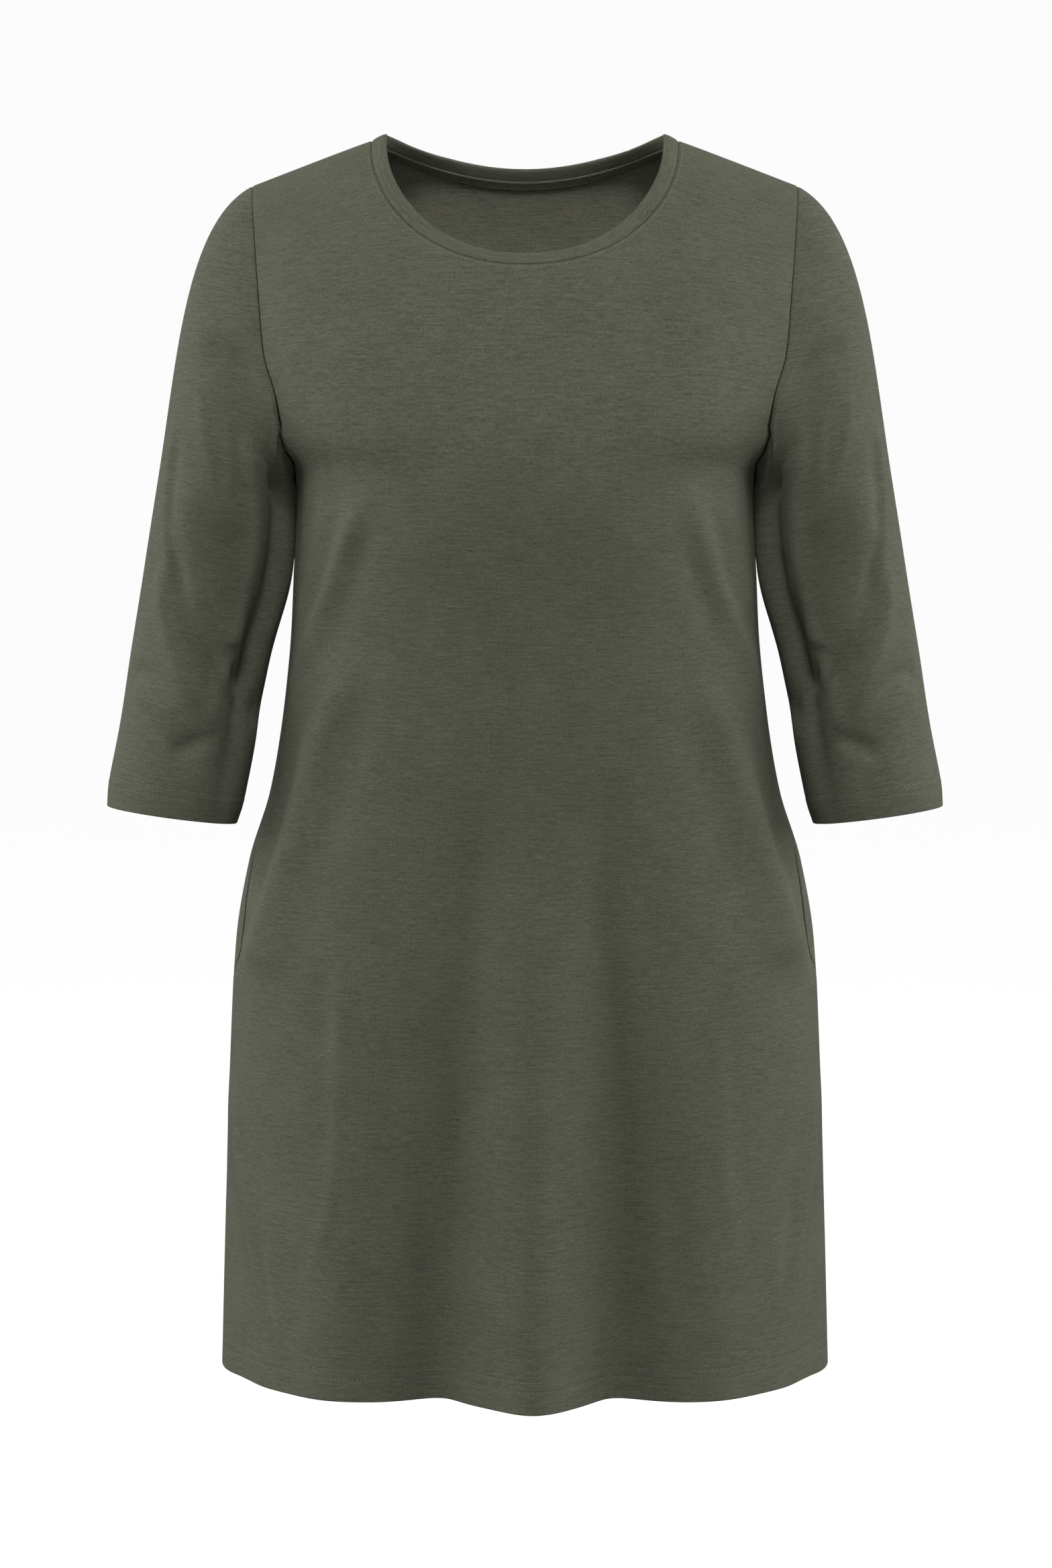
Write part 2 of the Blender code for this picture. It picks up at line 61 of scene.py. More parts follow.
LAMPS = (
    Lamp("lamp_high", (0.0, -3.0, 3.2), (0, 0, -0.40), 1.0, 126),
    Lamp("lamp_level", (0.0, -3.8, 0.3), (0, 0, -0.40), 1.8, 13),
    Lamp("lamp_left", (-2.8, -0.8, 0.5), (0, 0, -0.45), 1.2, 26),
    Lamp("lamp_right", (2.8, -0.8, 0.5), (0, 0, -0.45), 1.2, 26),
    Lamp("rim_left", (-2.6, 0.45, 0.3), (0, 0, -0.45), 1.2, 29),
    Lamp("rim_right", (2.6, 0.45, 0.3), (0, 0, -0.45), 1.2, 29),
)

scene = bpy.context.scene
scene.view_settings.view_transform = "Standard"
camera_data = bpy.data.cameras.new("camera")
camera_data.lens = LENS_MM
camera_data.sensor_fit = "VERTICAL"
camera_data.sensor_height = SENSOR_MM
camera = bpy.data.objects.new("camera", camera_data)
camera.location = CAMERA_PLACE
camera.rotation_euler = (pi / 2 - CAMERA_PITCH, 0, 0)
scene.collection.objects.link(camera)
scene.camera = camera

for lamp in LAMPS:
    light = bpy.data.lights.new(lamp.name, "AREA")
    light.size = lamp.size
    light.energy = lamp.power
    softbox = bpy.data.objects.new(lamp.name, light)
    softbox.location = lamp.place
    softbox.rotation_euler = (Vector(lamp.aim) - Vector(lamp.place)).to_track_quat("-Z", "Y").to_euler()
    scene.collection.objects.link(softbox)

surround = bpy.data.worlds.new("surround")
surround.use_nodes = True
sky = surround.node_tree
seen = sky.nodes.new("ShaderNodeLightPath").outputs["Is Camera Ray"]
sky_strength = sky.nodes.new("ShaderNodeMapRange")
sky_strength.inputs["To Min"].default_value = FILL_LIGHT
sky_strength.inputs["To Max"].default_value = BACKDROP_WHITE
sky.links.new(seen, sky_strength.inputs["Value"])
sky.nodes["Background"].inputs["Color"].default_value = (1, 1, 1, 1)
sky.links.new(sky_strength.outputs[0], sky.nodes["Background"].inputs["Strength"])
scene.world = surround

floor_paint = bpy.data.materials.new("floor_paint")
floor_paint.use_nodes = True
floor_finish = floor_paint.node_tree.nodes["Principled BSDF"].inputs
floor_finish["Base Color"].default_value = (0.35, 0.35, 0.35, 1)
floor_finish["Roughness"].default_value = 0.9
floor_finish["Emission Color"].default_value = (1, 1, 1, 1)
seen = floor_paint.node_tree.nodes.new("ShaderNodeLightPath").outputs["Is Camera Ray"]
glow = floor_paint.node_tree.nodes.new("ShaderNodeMath")
glow.operation = "MULTIPLY"
glow.inputs[1].default_value = FLOOR_GLOW
floor_paint.node_tree.links.new(seen, glow.inputs[0])
floor_paint.node_tree.links.new(glow.outputs[0], floor_finish["Emission Strength"])
floor_sheet = bmesh.new()
bmesh.ops.create_grid(floor_sheet, x_segments=1, y_segments=1, size=FLOOR_SIZE / 2)
bmesh.ops.translate(floor_sheet, vec=(0, 0, FLOOR_HEIGHT), verts=floor_sheet.verts[:])
floor_mesh = bpy.data.meshes.new("floor")
floor_sheet.to_mesh(floor_mesh)
floor_sheet.free()
floor_mesh.materials.append(floor_paint)
floor = bpy.data.objects.new("floor", floor_mesh)
scene.collection.objects.link(floor)

# Jersey
# A fine single knit of heathered olive-grey cotton. Its face shows columns of small loops, its
# back rows of them, and light and dark fibres and thicker yarns run through it unevenly.
JERSEY = (0.090, 0.102, 0.070)
# The inside colours are far lighter than the face. The back of the knit is a little paler, and the rest is painted
# light that brightens the shaded inside of the top.
JERSEY_INSIDE_PAINTED_LIGHT = (0.150, 0.165, 0.118)
JERSEY_BACK_PAINTED_LIGHT = (0.180, 0.198, 0.142)
FLECK_SHIFT = (1.14, 0.96, 1.06)
SHEEN = 0.10
SHEEN_TINT = (0.75, 0.80, 0.62)
WALE = 0.00078
COURSE = 0.00056
HEATHER = 0.95
SLUB = 0.95
WEAR = 0.26
Noise = namedtuple("Noise", "scale detail stretch shift")
FIBRE = Noise(620, 3, (1, 1, 1), (0, 0, 0))
SHORT_SLUB = Noise(1, 2, (150, 1150, 1), (3, 7, 0))
LONG_SLUB = Noise(1, 2, (45, 620, 1), (11, 5, 0))
CLOUDS = Noise(24, 2, (1, 1, 1), (0, 0, 0))
FLECKS = Noise(1, 3, (90, 240, 1), (5, 2, 0))


def socket(tree, way, kind, name, value=None):
    made = tree.interface.new_socket(name, in_out=way, socket_type=kind)
    if value is not None:
        made.default_value = value
    return made


def wired(tree, kind, inputs=(), **settings):
    """A node whose sockets are set to values or joined to other nodes' outputs."""
    node = tree.nodes.new(kind)
    for name, value in settings.items():
        setattr(node, name, value)
    for which, value in dict(inputs).items():
        if isinstance(value, bpy.types.NodeSocket):
            tree.links.new(value, node.inputs[which])
        else:
            node.inputs[which].default_value = value
    return node


def math(tree, operation, *values, clamp=False):
    node = wired(tree, "ShaderNodeMath", enumerate(values), operation=operation, use_clamp=clamp)
    return node.outputs[0]


def knit_group():
    """Loops, fibres, slubs and flecks of a knit, on the cloth's own map in metres."""
    tree = bpy.data.node_groups.new("knit", "ShaderNodeTree")
    socket(tree, "INPUT", "NodeSocketVector", "Cloth")
    socket(tree, "INPUT", "NodeSocketColor", "Yarn", (0.1, 0.1, 0.08, 1))
    socket(tree, "INPUT", "NodeSocketColor", "Fleck", (0.1, 0.1, 0.08, 1))
    socket(tree, "INPUT", "NodeSocketFloat", "Wale", WALE)
    socket(tree, "INPUT", "NodeSocketFloat", "Course", COURSE)
    socket(tree, "INPUT", "NodeSocketFloat", "Heather", 1.0)
    socket(tree, "INPUT", "NodeSocketFloat", "Slub", 1.0)
    socket(tree, "INPUT", "NodeSocketFloat", "Wear", 0.1)
    socket(tree, "OUTPUT", "NodeSocketColor", "Colour")
    socket(tree, "OUTPUT", "NodeSocketFloat", "Height")
    given = tree.nodes.new("NodeGroupInput").outputs
    result = tree.nodes.new("NodeGroupOutput").inputs

    def noise(scale, detail=2.0, stretch=(1, 1, 1), shift=(0, 0, 0)):
        where = wired(tree, "ShaderNodeMapping", {"Vector": given["Cloth"], "Scale": stretch, "Location": shift})
        inputs = {"Vector": where.outputs[0], "Scale": scale, "Detail": detail, "Roughness": 0.6}
        value = wired(tree, "ShaderNodeTexNoise", inputs).outputs["Fac"]
        return math(tree, "SUBTRACT", value, 0.5)

    apart = wired(tree, "ShaderNodeSeparateXYZ", {0: given["Cloth"]}).outputs
    across = math(tree, "DIVIDE", apart["X"], given["Wale"])
    down = math(tree, "DIVIDE", apart["Y"], given["Course"])
    column = math(tree, "ABSOLUTE", math(tree, "SINE", math(tree, "MULTIPLY", across, pi)))
    slant = math(tree, "MULTIPLY", column, 1.6)
    course = math(tree, "SINE", math(tree, "ADD", math(tree, "MULTIPLY", down, 2 * pi), slant))
    loops = math(tree, "MULTIPLY_ADD", course, 0.3, column)
    fibre = noise(*FIBRE)
    slub = math(tree, "MULTIPLY_ADD", noise(*LONG_SLUB), 0.7, noise(*SHORT_SLUB))
    light = math(tree, "MULTIPLY_ADD", fibre, given["Heather"], 1.0)
    light = math(tree, "MULTIPLY_ADD", slub, given["Slub"], light)
    light = math(tree, "MULTIPLY_ADD", noise(*CLOUDS), given["Wear"], light)
    flecked = math(tree, "MULTIPLY_ADD", noise(*FLECKS), 2.2, 0.5, clamp=True)
    yarn = wired(tree, "ShaderNodeMix", data_type="RGBA")
    tree.links.new(flecked, yarn.inputs["Factor"])
    tree.links.new(given["Yarn"], yarn.inputs[6])
    tree.links.new(given["Fleck"], yarn.inputs[7])
    colour = wired(tree, "ShaderNodeVectorMath", {0: yarn.outputs[2]}, operation="SCALE")
    tree.links.new(light, colour.inputs["Scale"])
    tree.links.new(colour.outputs[0], result["Colour"])
    height = math(tree, "MULTIPLY_ADD", slub, 1.2, loops)
    height = math(tree, "MULTIPLY_ADD", fibre, 0.6, height)
    tree.links.new(height, result["Height"])
    return tree


knit = knit_group()


def knitted(name, yarn, wale=WALE, course=COURSE, relief=0.25):
    """A matte knitted cloth in one yarn, with its flecks."""
    material = bpy.data.materials.new(name)
    material.use_nodes = True
    tree = material.node_tree
    finish = tree.nodes["Principled BSDF"]
    finish.inputs["Roughness"].default_value = 0.94
    finish.inputs["Specular IOR Level"].default_value = 0.20
    finish.inputs["Sheen Weight"].default_value = SHEEN
    finish.inputs["Sheen Roughness"].default_value = 0.6
    finish.inputs["Sheen Tint"].default_value = (*SHEEN_TINT, 1)
    group = wired(tree, "ShaderNodeGroup", node_tree=knit)
    tree.links.new(wired(tree, "ShaderNodeUVMap", uv_map="cloth").outputs[0], group.inputs["Cloth"])
    group.inputs["Yarn"].default_value = (*yarn, 1)
    group.inputs["Fleck"].default_value = (*(value * shift for value, shift in zip(yarn, FLECK_SHIFT)), 1)
    group.inputs["Wale"].default_value = wale
    group.inputs["Course"].default_value = course
    group.inputs["Heather"].default_value = HEATHER
    group.inputs["Slub"].default_value = SLUB
    group.inputs["Wear"].default_value = WEAR
    tree.links.new(group.outputs["Colour"], finish.inputs["Base Color"])
    bump = wired(tree, "ShaderNodeBump", {"Strength": relief, "Distance": 0.0003})
    tree.links.new(group.outputs["Height"], bump.inputs["Height"])
    tree.links.new(bump.outputs[0], finish.inputs["Normal"])
    return material


jersey = knitted("jersey", JERSEY)
# Lighter copies of the jersey for the inner faces, the neck's inside pieces, the bags and the allowances: partly the
# knit's paler back, partly painted light.
jersey_inside_painted_light = knitted("jersey_inside_painted_light", JERSEY_INSIDE_PAINTED_LIGHT)
jersey_back_painted_light = knitted("jersey_back_painted_light", JERSEY_BACK_PAINTED_LIGHT, wale=COURSE, course=WALE, relief=0.3)

# Body panels
# One front and one back in jersey, sewn together at the shoulders and the sides. Each is cut with
# half a neck scoop and half an armhole on the fold, and it falls into flutes towards the hem.
LENGTH = 0.861
ARMHOLE_DEPTH = 0.232
NECK_HALF_WIDTH = 0.106
SHOULDER_SLOPE = 0.385
SLOPE_STARTS = 0.096
SLOPE_EASE = 0.010
SHOULDER_SEAM_FALL = -0.03
ARMHOLE_TURN = radians(61.5)
ARMHOLE_BENDS_AT = 0.85
BODY_FULLNESS = 0.12
Scoop = namedtuple("Scoop", "drop across_power drop_power")
FRONT_SCOOP = Scoop(0.094, 2.15, 2.15)
BACK_SCOOP = Scoop(0.028, 2.0, 1.0)
Section = namedtuple("Section", "depth half_width front back")
BODY = (
    Section(0.000, 0.215, 0.000, 0.000),
    Section(0.020, 0.2135, 0.038, 0.058),
    Section(0.057, 0.211, 0.065, 0.076),
    Section(0.100, 0.2075, 0.091, 0.086),
    Section(0.147, 0.203, 0.110, 0.093),
    Section(0.190, 0.188, 0.126, 0.097),
    Section(0.212, 0.175, 0.132, 0.098),
    Section(0.232, 0.160, 0.135, 0.097),
    Section(0.250, 0.159, 0.136, 0.095),
    Section(0.306, 0.1613, 0.129, 0.087),
    Section(0.343, 0.1629, 0.124, 0.081),
    Section(0.381, 0.1663, 0.121, 0.079),
    Section(0.418, 0.1712, 0.120, 0.082),
    Section(0.456, 0.1784, 0.121, 0.088),
    Section(0.504, 0.1932, 0.124, 0.099),
    Section(0.561, 0.2029, 0.129, 0.111),
    Section(0.637, 0.2070, 0.133, 0.119),
    Section(0.732, 0.2104, 0.138, 0.124),
    Section(0.861, 0.2142, 0.146, 0.129),
)
Fold = namedtuple("Fold", "across_top down_top across_low down_low width top foot")
FRONT_FLUTES = (
    Fold(-0.090, 0.405, 0.090, 0.405, 0.080, 0.006, 0.006),
    Fold(0.004, 0.470, 0.005, 0.861, 0.027, 0.000, 0.027),
    Fold(-0.050, 0.480, -0.065, 0.861, 0.024, 0.000, -0.023),
    Fold(0.053, 0.480, 0.068, 0.861, 0.024, 0.000, -0.022),
    Fold(-0.108, 0.560, -0.132, 0.861, 0.028, 0.000, 0.008),
    Fold(0.108, 0.560, 0.130, 0.861, 0.028, 0.000, 0.007),
    Fold(-0.188, 0.640, -0.200, 0.861, 0.016, 0.000, -0.005),
    Fold(0.188, 0.640, 0.200, 0.861, 0.016, 0.000, -0.005),
    Fold(-0.128, 0.380, -0.176, 0.560, 0.016, 0.003, 0.006),
    Fold(0.132, 0.390, 0.176, 0.555, 0.016, 0.003, 0.006),
    Fold(-0.112, 0.255, -0.140, 0.350, 0.013, 0.004, 0.002),
    Fold(0.114, 0.255, 0.142, 0.360, 0.013, 0.004, 0.002),
)
BACK_FLUTES = (
    Fold(0.006, 0.420, 0.014, 0.861, 0.026, 0.000, -0.016),
    Fold(-0.052, 0.400, -0.064, 0.861, 0.025, 0.000, 0.017),
    Fold(0.062, 0.430, 0.078, 0.861, 0.025, 0.000, 0.019),
    Fold(-0.108, 0.500, -0.128, 0.861, 0.024, 0.000, -0.012),
    Fold(0.118, 0.520, 0.140, 0.861, 0.024, 0.000, -0.011),
    Fold(-0.158, 0.560, -0.176, 0.861, 0.020, 0.000, 0.009),
    Fold(-0.120, 0.300, 0.000, 0.350, 0.018, -0.003, -0.005),
    Fold(0.120, 0.310, 0.010, 0.360, 0.018, -0.003, -0.004),
)
Crease = namedtuple("Crease", "height width path")
FRONT_CREASES = (
    # from under the bust to the waist, left then right
    Crease(0.0023, 0.0055, ((-0.136, 0.246), (-0.141, 0.286), (-0.148, 0.325), (-0.153, 0.352))),
    Crease(0.0033, 0.0060, ((-0.110, 0.250), (-0.118, 0.279), (-0.128, 0.310), (-0.140, 0.339), (-0.165, 0.404))),
    Crease(-0.0019, 0.0050, ((-0.126, 0.255), (-0.134, 0.290), (-0.143, 0.325), (-0.150, 0.350))),
    Crease(-0.0017, 0.0070, ((-0.103, 0.262), (-0.112, 0.300), (-0.124, 0.340), (-0.140, 0.375))),
    Crease(0.0022, 0.0055, ((0.135, 0.244), (0.143, 0.282), (0.149, 0.315), (0.154, 0.342))),
    Crease(0.0030, 0.0060, ((0.113, 0.250), (0.126, 0.307), (0.138, 0.333), (0.155, 0.379), (0.165, 0.414))),
    Crease(-0.0017, 0.0050, ((0.126, 0.255), (0.134, 0.292), (0.143, 0.328))),
    Crease(-0.0017, 0.0070, ((0.105, 0.262), (0.113, 0.305), (0.125, 0.340), (0.140, 0.372))),
    # from the waist to the pocket mouths
    Crease(0.0039, 0.0085, ((-0.106, 0.348), (-0.133, 0.416), (-0.153, 0.479), (-0.174, 0.529), (-0.204, 0.604))),
    Crease(-0.0049, 0.0070, ((-0.145, 0.385), (-0.166, 0.460), (-0.181, 0.510), (-0.194, 0.552), (-0.203, 0.592))),
    Crease(-0.0017, 0.0100, ((-0.098, 0.372), (-0.115, 0.430), (-0.132, 0.480), (-0.150, 0.530))),
    Crease(0.0038, 0.0085, ((0.108, 0.354), (0.135, 0.430), (0.156, 0.484), (0.176, 0.531), (0.204, 0.606))),
    Crease(-0.0049, 0.0070, ((0.147, 0.392), (0.167, 0.460), (0.182, 0.508), (0.195, 0.552), (0.203, 0.592))),
    Crease(-0.0014, 0.0100, ((0.100, 0.380), (0.116, 0.440), (0.134, 0.490), (0.152, 0.535))),
    # the flutes of the lower half
    Crease(-0.0060, 0.0160, ((-0.035, 0.430), (-0.038, 0.560), (-0.041, 0.700), (-0.041, 0.870))),
    Crease(-0.0058, 0.0150, ((0.050, 0.420), (0.056, 0.540), (0.070, 0.700), (0.073, 0.870))),
    Crease(0.0020, 0.0080, ((-0.060, 0.620), (-0.060, 0.700), (-0.062, 0.800))),
    Crease(-0.0026, 0.0120, ((-0.090, 0.600), (-0.095, 0.680), (-0.099, 0.770), (-0.102, 0.880))),
    Crease(-0.0026, 0.0120, ((0.078, 0.460), (0.086, 0.570), (0.090, 0.670), (0.100, 0.760), (0.106, 0.880))),
    Crease(0.0016, 0.0050, ((-0.127, 0.545), (-0.125, 0.620), (-0.126, 0.690), (-0.135, 0.755), (-0.154, 0.805))),
    Crease(0.0013, 0.0065, ((0.128, 0.580), (0.130, 0.660), (0.135, 0.730), (0.144, 0.790))),
    Crease(-0.0019, 0.0080, ((-0.141, 0.570), (-0.137, 0.600), (-0.133, 0.632))),
    # beside the side seams
    Crease(0.0028, 0.0055, ((-0.204, 0.645), (-0.201, 0.690), (-0.194, 0.736), (-0.186, 0.785), (-0.168, 0.850))),
    Crease(-0.0019, 0.0040, ((-0.206, 0.712), (-0.204, 0.760), (-0.204, 0.822))),
    Crease(-0.0019, 0.0040, ((-0.187, 0.750), (-0.180, 0.790), (-0.172, 0.832))),
    Crease(0.0028, 0.0055, ((0.203, 0.645), (0.201, 0.685), (0.197, 0.728), (0.191, 0.785), (0.183, 0.852))),
    Crease(-0.0019, 0.0040, ((0.206, 0.718), (0.204, 0.775), (0.203, 0.835))),
    Crease(-0.0016, 0.0045, ((0.187, 0.712), (0.182, 0.760), (0.177, 0.818))),
    # over and under the bust, and the puckers at the underarms
    Crease(0.0032, 0.0340, ((-0.116, 0.120), (-0.112, 0.190), (-0.100, 0.250))),
    Crease(0.0032, 0.0340, ((0.118, 0.115), (0.114, 0.185), (0.102, 0.248))),
    Crease(-0.0022, 0.0200, ((-0.140, 0.262), (-0.095, 0.252), (-0.030, 0.268))),
    Crease(-0.0022, 0.0200, ((0.142, 0.262), (0.097, 0.250), (0.032, 0.264))),
    Crease(0.0024, 0.0038, ((-0.170, 0.202), (-0.162, 0.214), (-0.160, 0.228))),
    Crease(0.0022, 0.0038, ((0.169, 0.204), (0.161, 0.215), (0.159, 0.229))),
)
BACK_CREASES = (
    # from the shoulder blades to the waist
    Crease(0.0024, 0.0070, ((-0.118, 0.150), (-0.132, 0.220), (-0.146, 0.300), (-0.156, 0.366))),
    Crease(0.0022, 0.0060, ((0.116, 0.165), (0.133, 0.235), (0.147, 0.305), (0.157, 0.376))),
    Crease(-0.0019, 0.0080, ((-0.102, 0.195), (-0.118, 0.270), (-0.136, 0.345))),
    Crease(-0.0018, 0.0080, ((0.100, 0.185), (0.119, 0.265), (0.138, 0.340))),
    Crease(0.0019, 0.0060, ((-0.152, 0.125), (-0.135, 0.180), (-0.118, 0.228))),
    Crease(0.0016, 0.0060, ((0.152, 0.135), (0.136, 0.188), (0.121, 0.222))),
    # across the small of the back
    Crease(-0.0024, 0.0075, ((-0.100, 0.346), (-0.040, 0.360), (0.020, 0.357), (0.082, 0.344))),
    Crease(0.0022, 0.0085, ((-0.110, 0.370), (-0.050, 0.384), (0.010, 0.381), (0.066, 0.371))),
    Crease(-0.0019, 0.0070, ((-0.066, 0.398), (-0.010, 0.406), (0.062, 0.399))),
    # from the waist to the pocket mouths
    Crease(0.0030, 0.0090, ((-0.098, 0.392), (-0.125, 0.448), (-0.150, 0.508), (-0.178, 0.580))),
    Crease(0.0028, 0.0090, ((0.104, 0.400), (0.130, 0.455), (0.153, 0.505), (0.180, 0.578))),
    Crease(-0.0027, 0.0080, ((-0.126, 0.405), (-0.156, 0.468), (-0.184, 0.548))),
    Crease(-0.0024, 0.0080, ((0.130, 0.412), (0.159, 0.474), (0.185, 0.545))),
    # the flutes of the lower half and beside the side seams
    Crease(0.0041, 0.0160, ((-0.060, 0.460), (-0.062, 0.620), (-0.066, 0.880))),
    Crease(0.0041, 0.0160, ((0.070, 0.480), (0.074, 0.640), (0.080, 0.880))),
    Crease(-0.0041, 0.0140, ((0.004, 0.450), (0.010, 0.640), (0.016, 0.880))),
    Crease(-0.0024, 0.0110, ((-0.104, 0.560), (-0.110, 0.700), (-0.122, 0.870))),
    Crease(-0.0024, 0.0110, ((0.112, 0.580), (0.120, 0.710), (0.134, 0.870))),
    Crease(0.0016, 0.0055, ((-0.140, 0.570), (-0.142, 0.650), (-0.150, 0.735), (-0.162, 0.800))),
    Crease(0.0014, 0.0060, ((0.146, 0.590), (0.147, 0.670), (0.153, 0.745), (0.163, 0.812))),
    Crease(0.0022, 0.0055, ((-0.203, 0.655), (-0.199, 0.730), (-0.188, 0.800), (-0.180, 0.846))),
    Crease(0.0022, 0.0055, ((0.203, 0.665), (0.200, 0.735), (0.191, 0.795), (0.184, 0.850))),
)
CREASE_STEPS = 20
CREASE_RISES = 0.22
CREASE_FADES = 0.34
CREASE_SIDE_FADE = 0.14
SIDE_FADE = 0.30
SIDE_FADE_POWER = 1.5

# The wall of a panel, its hem and its seams
CLOTH = 0.0011
HEM_CLOTH = 0.0020
SEAM_GAP = 0.0003
SEAM_DIP = 0.0005
SEAM_DIP_WIDTH = 0.0009
HEM_ROWS = (0.0150, 0.0214)
THREAD_DIP = 0.00025
THREAD_DIP_WIDTH = 0.0010
NECK_STITCH_FROM_SEAM = 0.0022

# Where the mouths of the pockets lie in the sides
MOUTH_TOP = 0.455
MOUTH_LOW = 0.592
MOUTH_EASE_TOP = 0.050
MOUTH_EASE_LOW = 0.026
MOUTH_FORWARD = radians(11)
MOUTH_SLIT = radians(1.2)
MOUTH_STITCH_FROM_EDGE = 0.0045

# Rows of a panel count from 0 at the shoulder: past the neck, the underarm and the mouth to the hem
UNDERARM_ROW = 16
FRONT_NECK_ROW = 9
BACK_NECK_ROW = 7
SIDE_ROWS = (5, 5, 7)
HEM_ROW = UNDERARM_ROW + sum(SIDE_ROWS)
CENTRE_FALL_AT_UNDERARM = 1.10


def smooth_curve(at, values):
    """A smooth line through points, which doesn't swing past any of them."""
    at = np.asarray(at, float)
    values = np.asarray(values, float)
    steps = np.diff(at)
    slopes = np.diff(values) / steps
    tangents = np.zeros(len(at))
    tangents[0] = slopes[0]
    tangents[-1] = slopes[-1]
    same_way = slopes[:-1] * slopes[1:] > 0
    before = slopes[:-1][same_way]
    after = slopes[1:][same_way]
    tangents[1:-1][same_way] = 2 * before * after / (before + after)

    def read(where):
        where = np.clip(where, at[0], at[-1])
        k = np.clip(np.searchsorted(at, where, side="right") - 1, 0, len(steps) - 1)
        t = (where - at[k]) / steps[k]
        rise = values[k] * (2 * t**3 - 3 * t**2 + 1) + values[k + 1] * (3 * t**2 - 2 * t**3)
        turn = tangents[k] * (t**3 - 2 * t**2 + t) + tangents[k + 1] * (t**3 - t**2)
        return rise + steps[k] * turn

    return read


def fall_of(depth):
    share = np.asarray(depth, float) / ARMHOLE_DEPTH
    return np.where(share < 1, np.sqrt(np.clip(share, 0, 1)), (share + 1) / 2)


def depth_of(fall):
    a = np.abs(fall)
    return ARMHOLE_DEPTH * np.where(a < 1, a * a, 2 * a - 1)


BODY_FALLS = fall_of([row.depth for row in BODY])
half_width = smooth_curve(BODY_FALLS, [row.half_width for row in BODY])
front_reach = smooth_curve(BODY_FALLS, [row.front for row in BODY])
back_reach = smooth_curve(BODY_FALLS, [row.back for row in BODY])
HEM_FALL = float(fall_of(LENGTH))


def folded(folds, across, down):
    """How far the cloth stands out at a place, from the folds that pass near it."""
    total = np.zeros_like(across)
    for fold in folds:
        line = np.array([fold.across_low - fold.across_top, fold.down_low - fold.down_top])
        from_top = np.stack([across - fold.across_top, down - fold.down_top], axis=-1)
        share = np.clip(from_top @ line / (line @ line), 0, 1)
        away = np.linalg.norm(from_top - share[..., None] * line, axis=-1)
        total += (fold.top + (fold.foot - fold.top) * share) * np.exp(-((away / fold.width) ** 2))
    return total


def creased(creases, across, down):
    """How far the cloth stands out from the creases, each a soft line that dies away at both ends."""
    total = np.zeros(np.shape(across))
    steps = np.linspace(0, 1, CREASE_STEPS + 1)
    for crease in creases:
        knots = np.linspace(0, 1, len(crease.path))
        line = np.column_stack([smooth_curve(knots, column)(steps) for column in zip(*crease.path)])
        low, high = line.min(axis=0) - 3 * crease.width, line.max(axis=0) + 3 * crease.width
        near = (across > low[0]) & (across < high[0]) & (down > low[1]) & (down < high[1])
        spots = np.stack([across[near], down[near]], axis=-1)
        away = np.full(len(spots), np.inf)
        share = np.zeros(len(spots))
        for k, (start, end) in enumerate(zip(line[:-1], line[1:])):
            reach = end - start
            along = np.clip((spots - start) @ reach / (reach @ reach), 0, 1)
            apart = np.linalg.norm(spots - start - along[:, None] * reach, axis=-1)
            closer = apart < away
            away = np.where(closer, apart, away)
            share = np.where(closer, (k + along) / CREASE_STEPS, share)
        rise = np.clip(share / CREASE_RISES, 0, 1)
        fade = np.clip((1 - share) / CREASE_FADES, 0, 1)
        strength = rise * rise * (3 - 2 * rise) * fade * fade * (3 - 2 * fade)
        total[near] += crease.height * strength * np.exp(-((away / crease.width) ** 2))
    return total


def body(spots):
    """Points of the body's outer surface, for an array of (turn, fall)."""
    turn, fall = spots[..., 0], spots[..., 1]
    a = np.abs(fall)
    front = (fall > 0) == (np.cos(turn) > 0)
    reach = np.where(front, front_reach(a), back_reach(a))
    outward = np.where(front, -1.0, 1.0)
    x = half_width(a) * np.sin(turn)
    y = outward * reach * np.abs(np.cos(turn)) * (1 + BODY_FULLNESS * np.sin(turn) ** 2)
    depth = depth_of(fall)
    beyond = np.abs(x) - SLOPE_STARTS
    drop = SHOULDER_SLOPE * (np.sqrt(beyond**2 + SLOPE_EASE**2) + beyond) / 2
    z = -depth - drop * np.clip(1 - depth / ARMHOLE_DEPTH, 0, 1) ** 2
    flutes = np.where(front, folded(FRONT_FLUTES, x, depth), folded(BACK_FLUTES, x, depth))
    creases = np.where(front, creased(FRONT_CREASES, x, depth), creased(BACK_CREASES, x, depth))
    to_side = np.abs(np.cos(turn))
    stands = flutes * np.clip(to_side / SIDE_FADE, 0, 1) ** SIDE_FADE_POWER
    stands = stands + creases * np.clip(to_side / CREASE_SIDE_FADE, 0, 1)
    x = x + stands * np.sin(turn)
    y = y + stands * outward * np.abs(np.cos(turn))
    return np.stack([x, y, z], axis=-1)


def unit(vectors):
    return vectors / np.linalg.norm(vectors, axis=-1, keepdims=True)


def normals(surface, spots, step=1e-4):
    round_it = np.array([step, 0.0])
    down_it = np.array([0.0, step])
    along = surface(spots + down_it) - surface(spots - down_it)
    around = surface(spots + round_it) - surface(spots - round_it)
    return unit(np.cross(along, around))


def at_lengths(path, shares):
    """Spots at the given shares of the real length of a path on the body."""
    points = body(path)
    lengths = np.r_[0, np.cumsum(np.linalg.norm(np.diff(points, axis=0), axis=1))]
    stops = np.asarray(shares) * lengths[-1]
    return np.column_stack([np.interp(stops, lengths, path[:, k]) for k in (0, 1)])


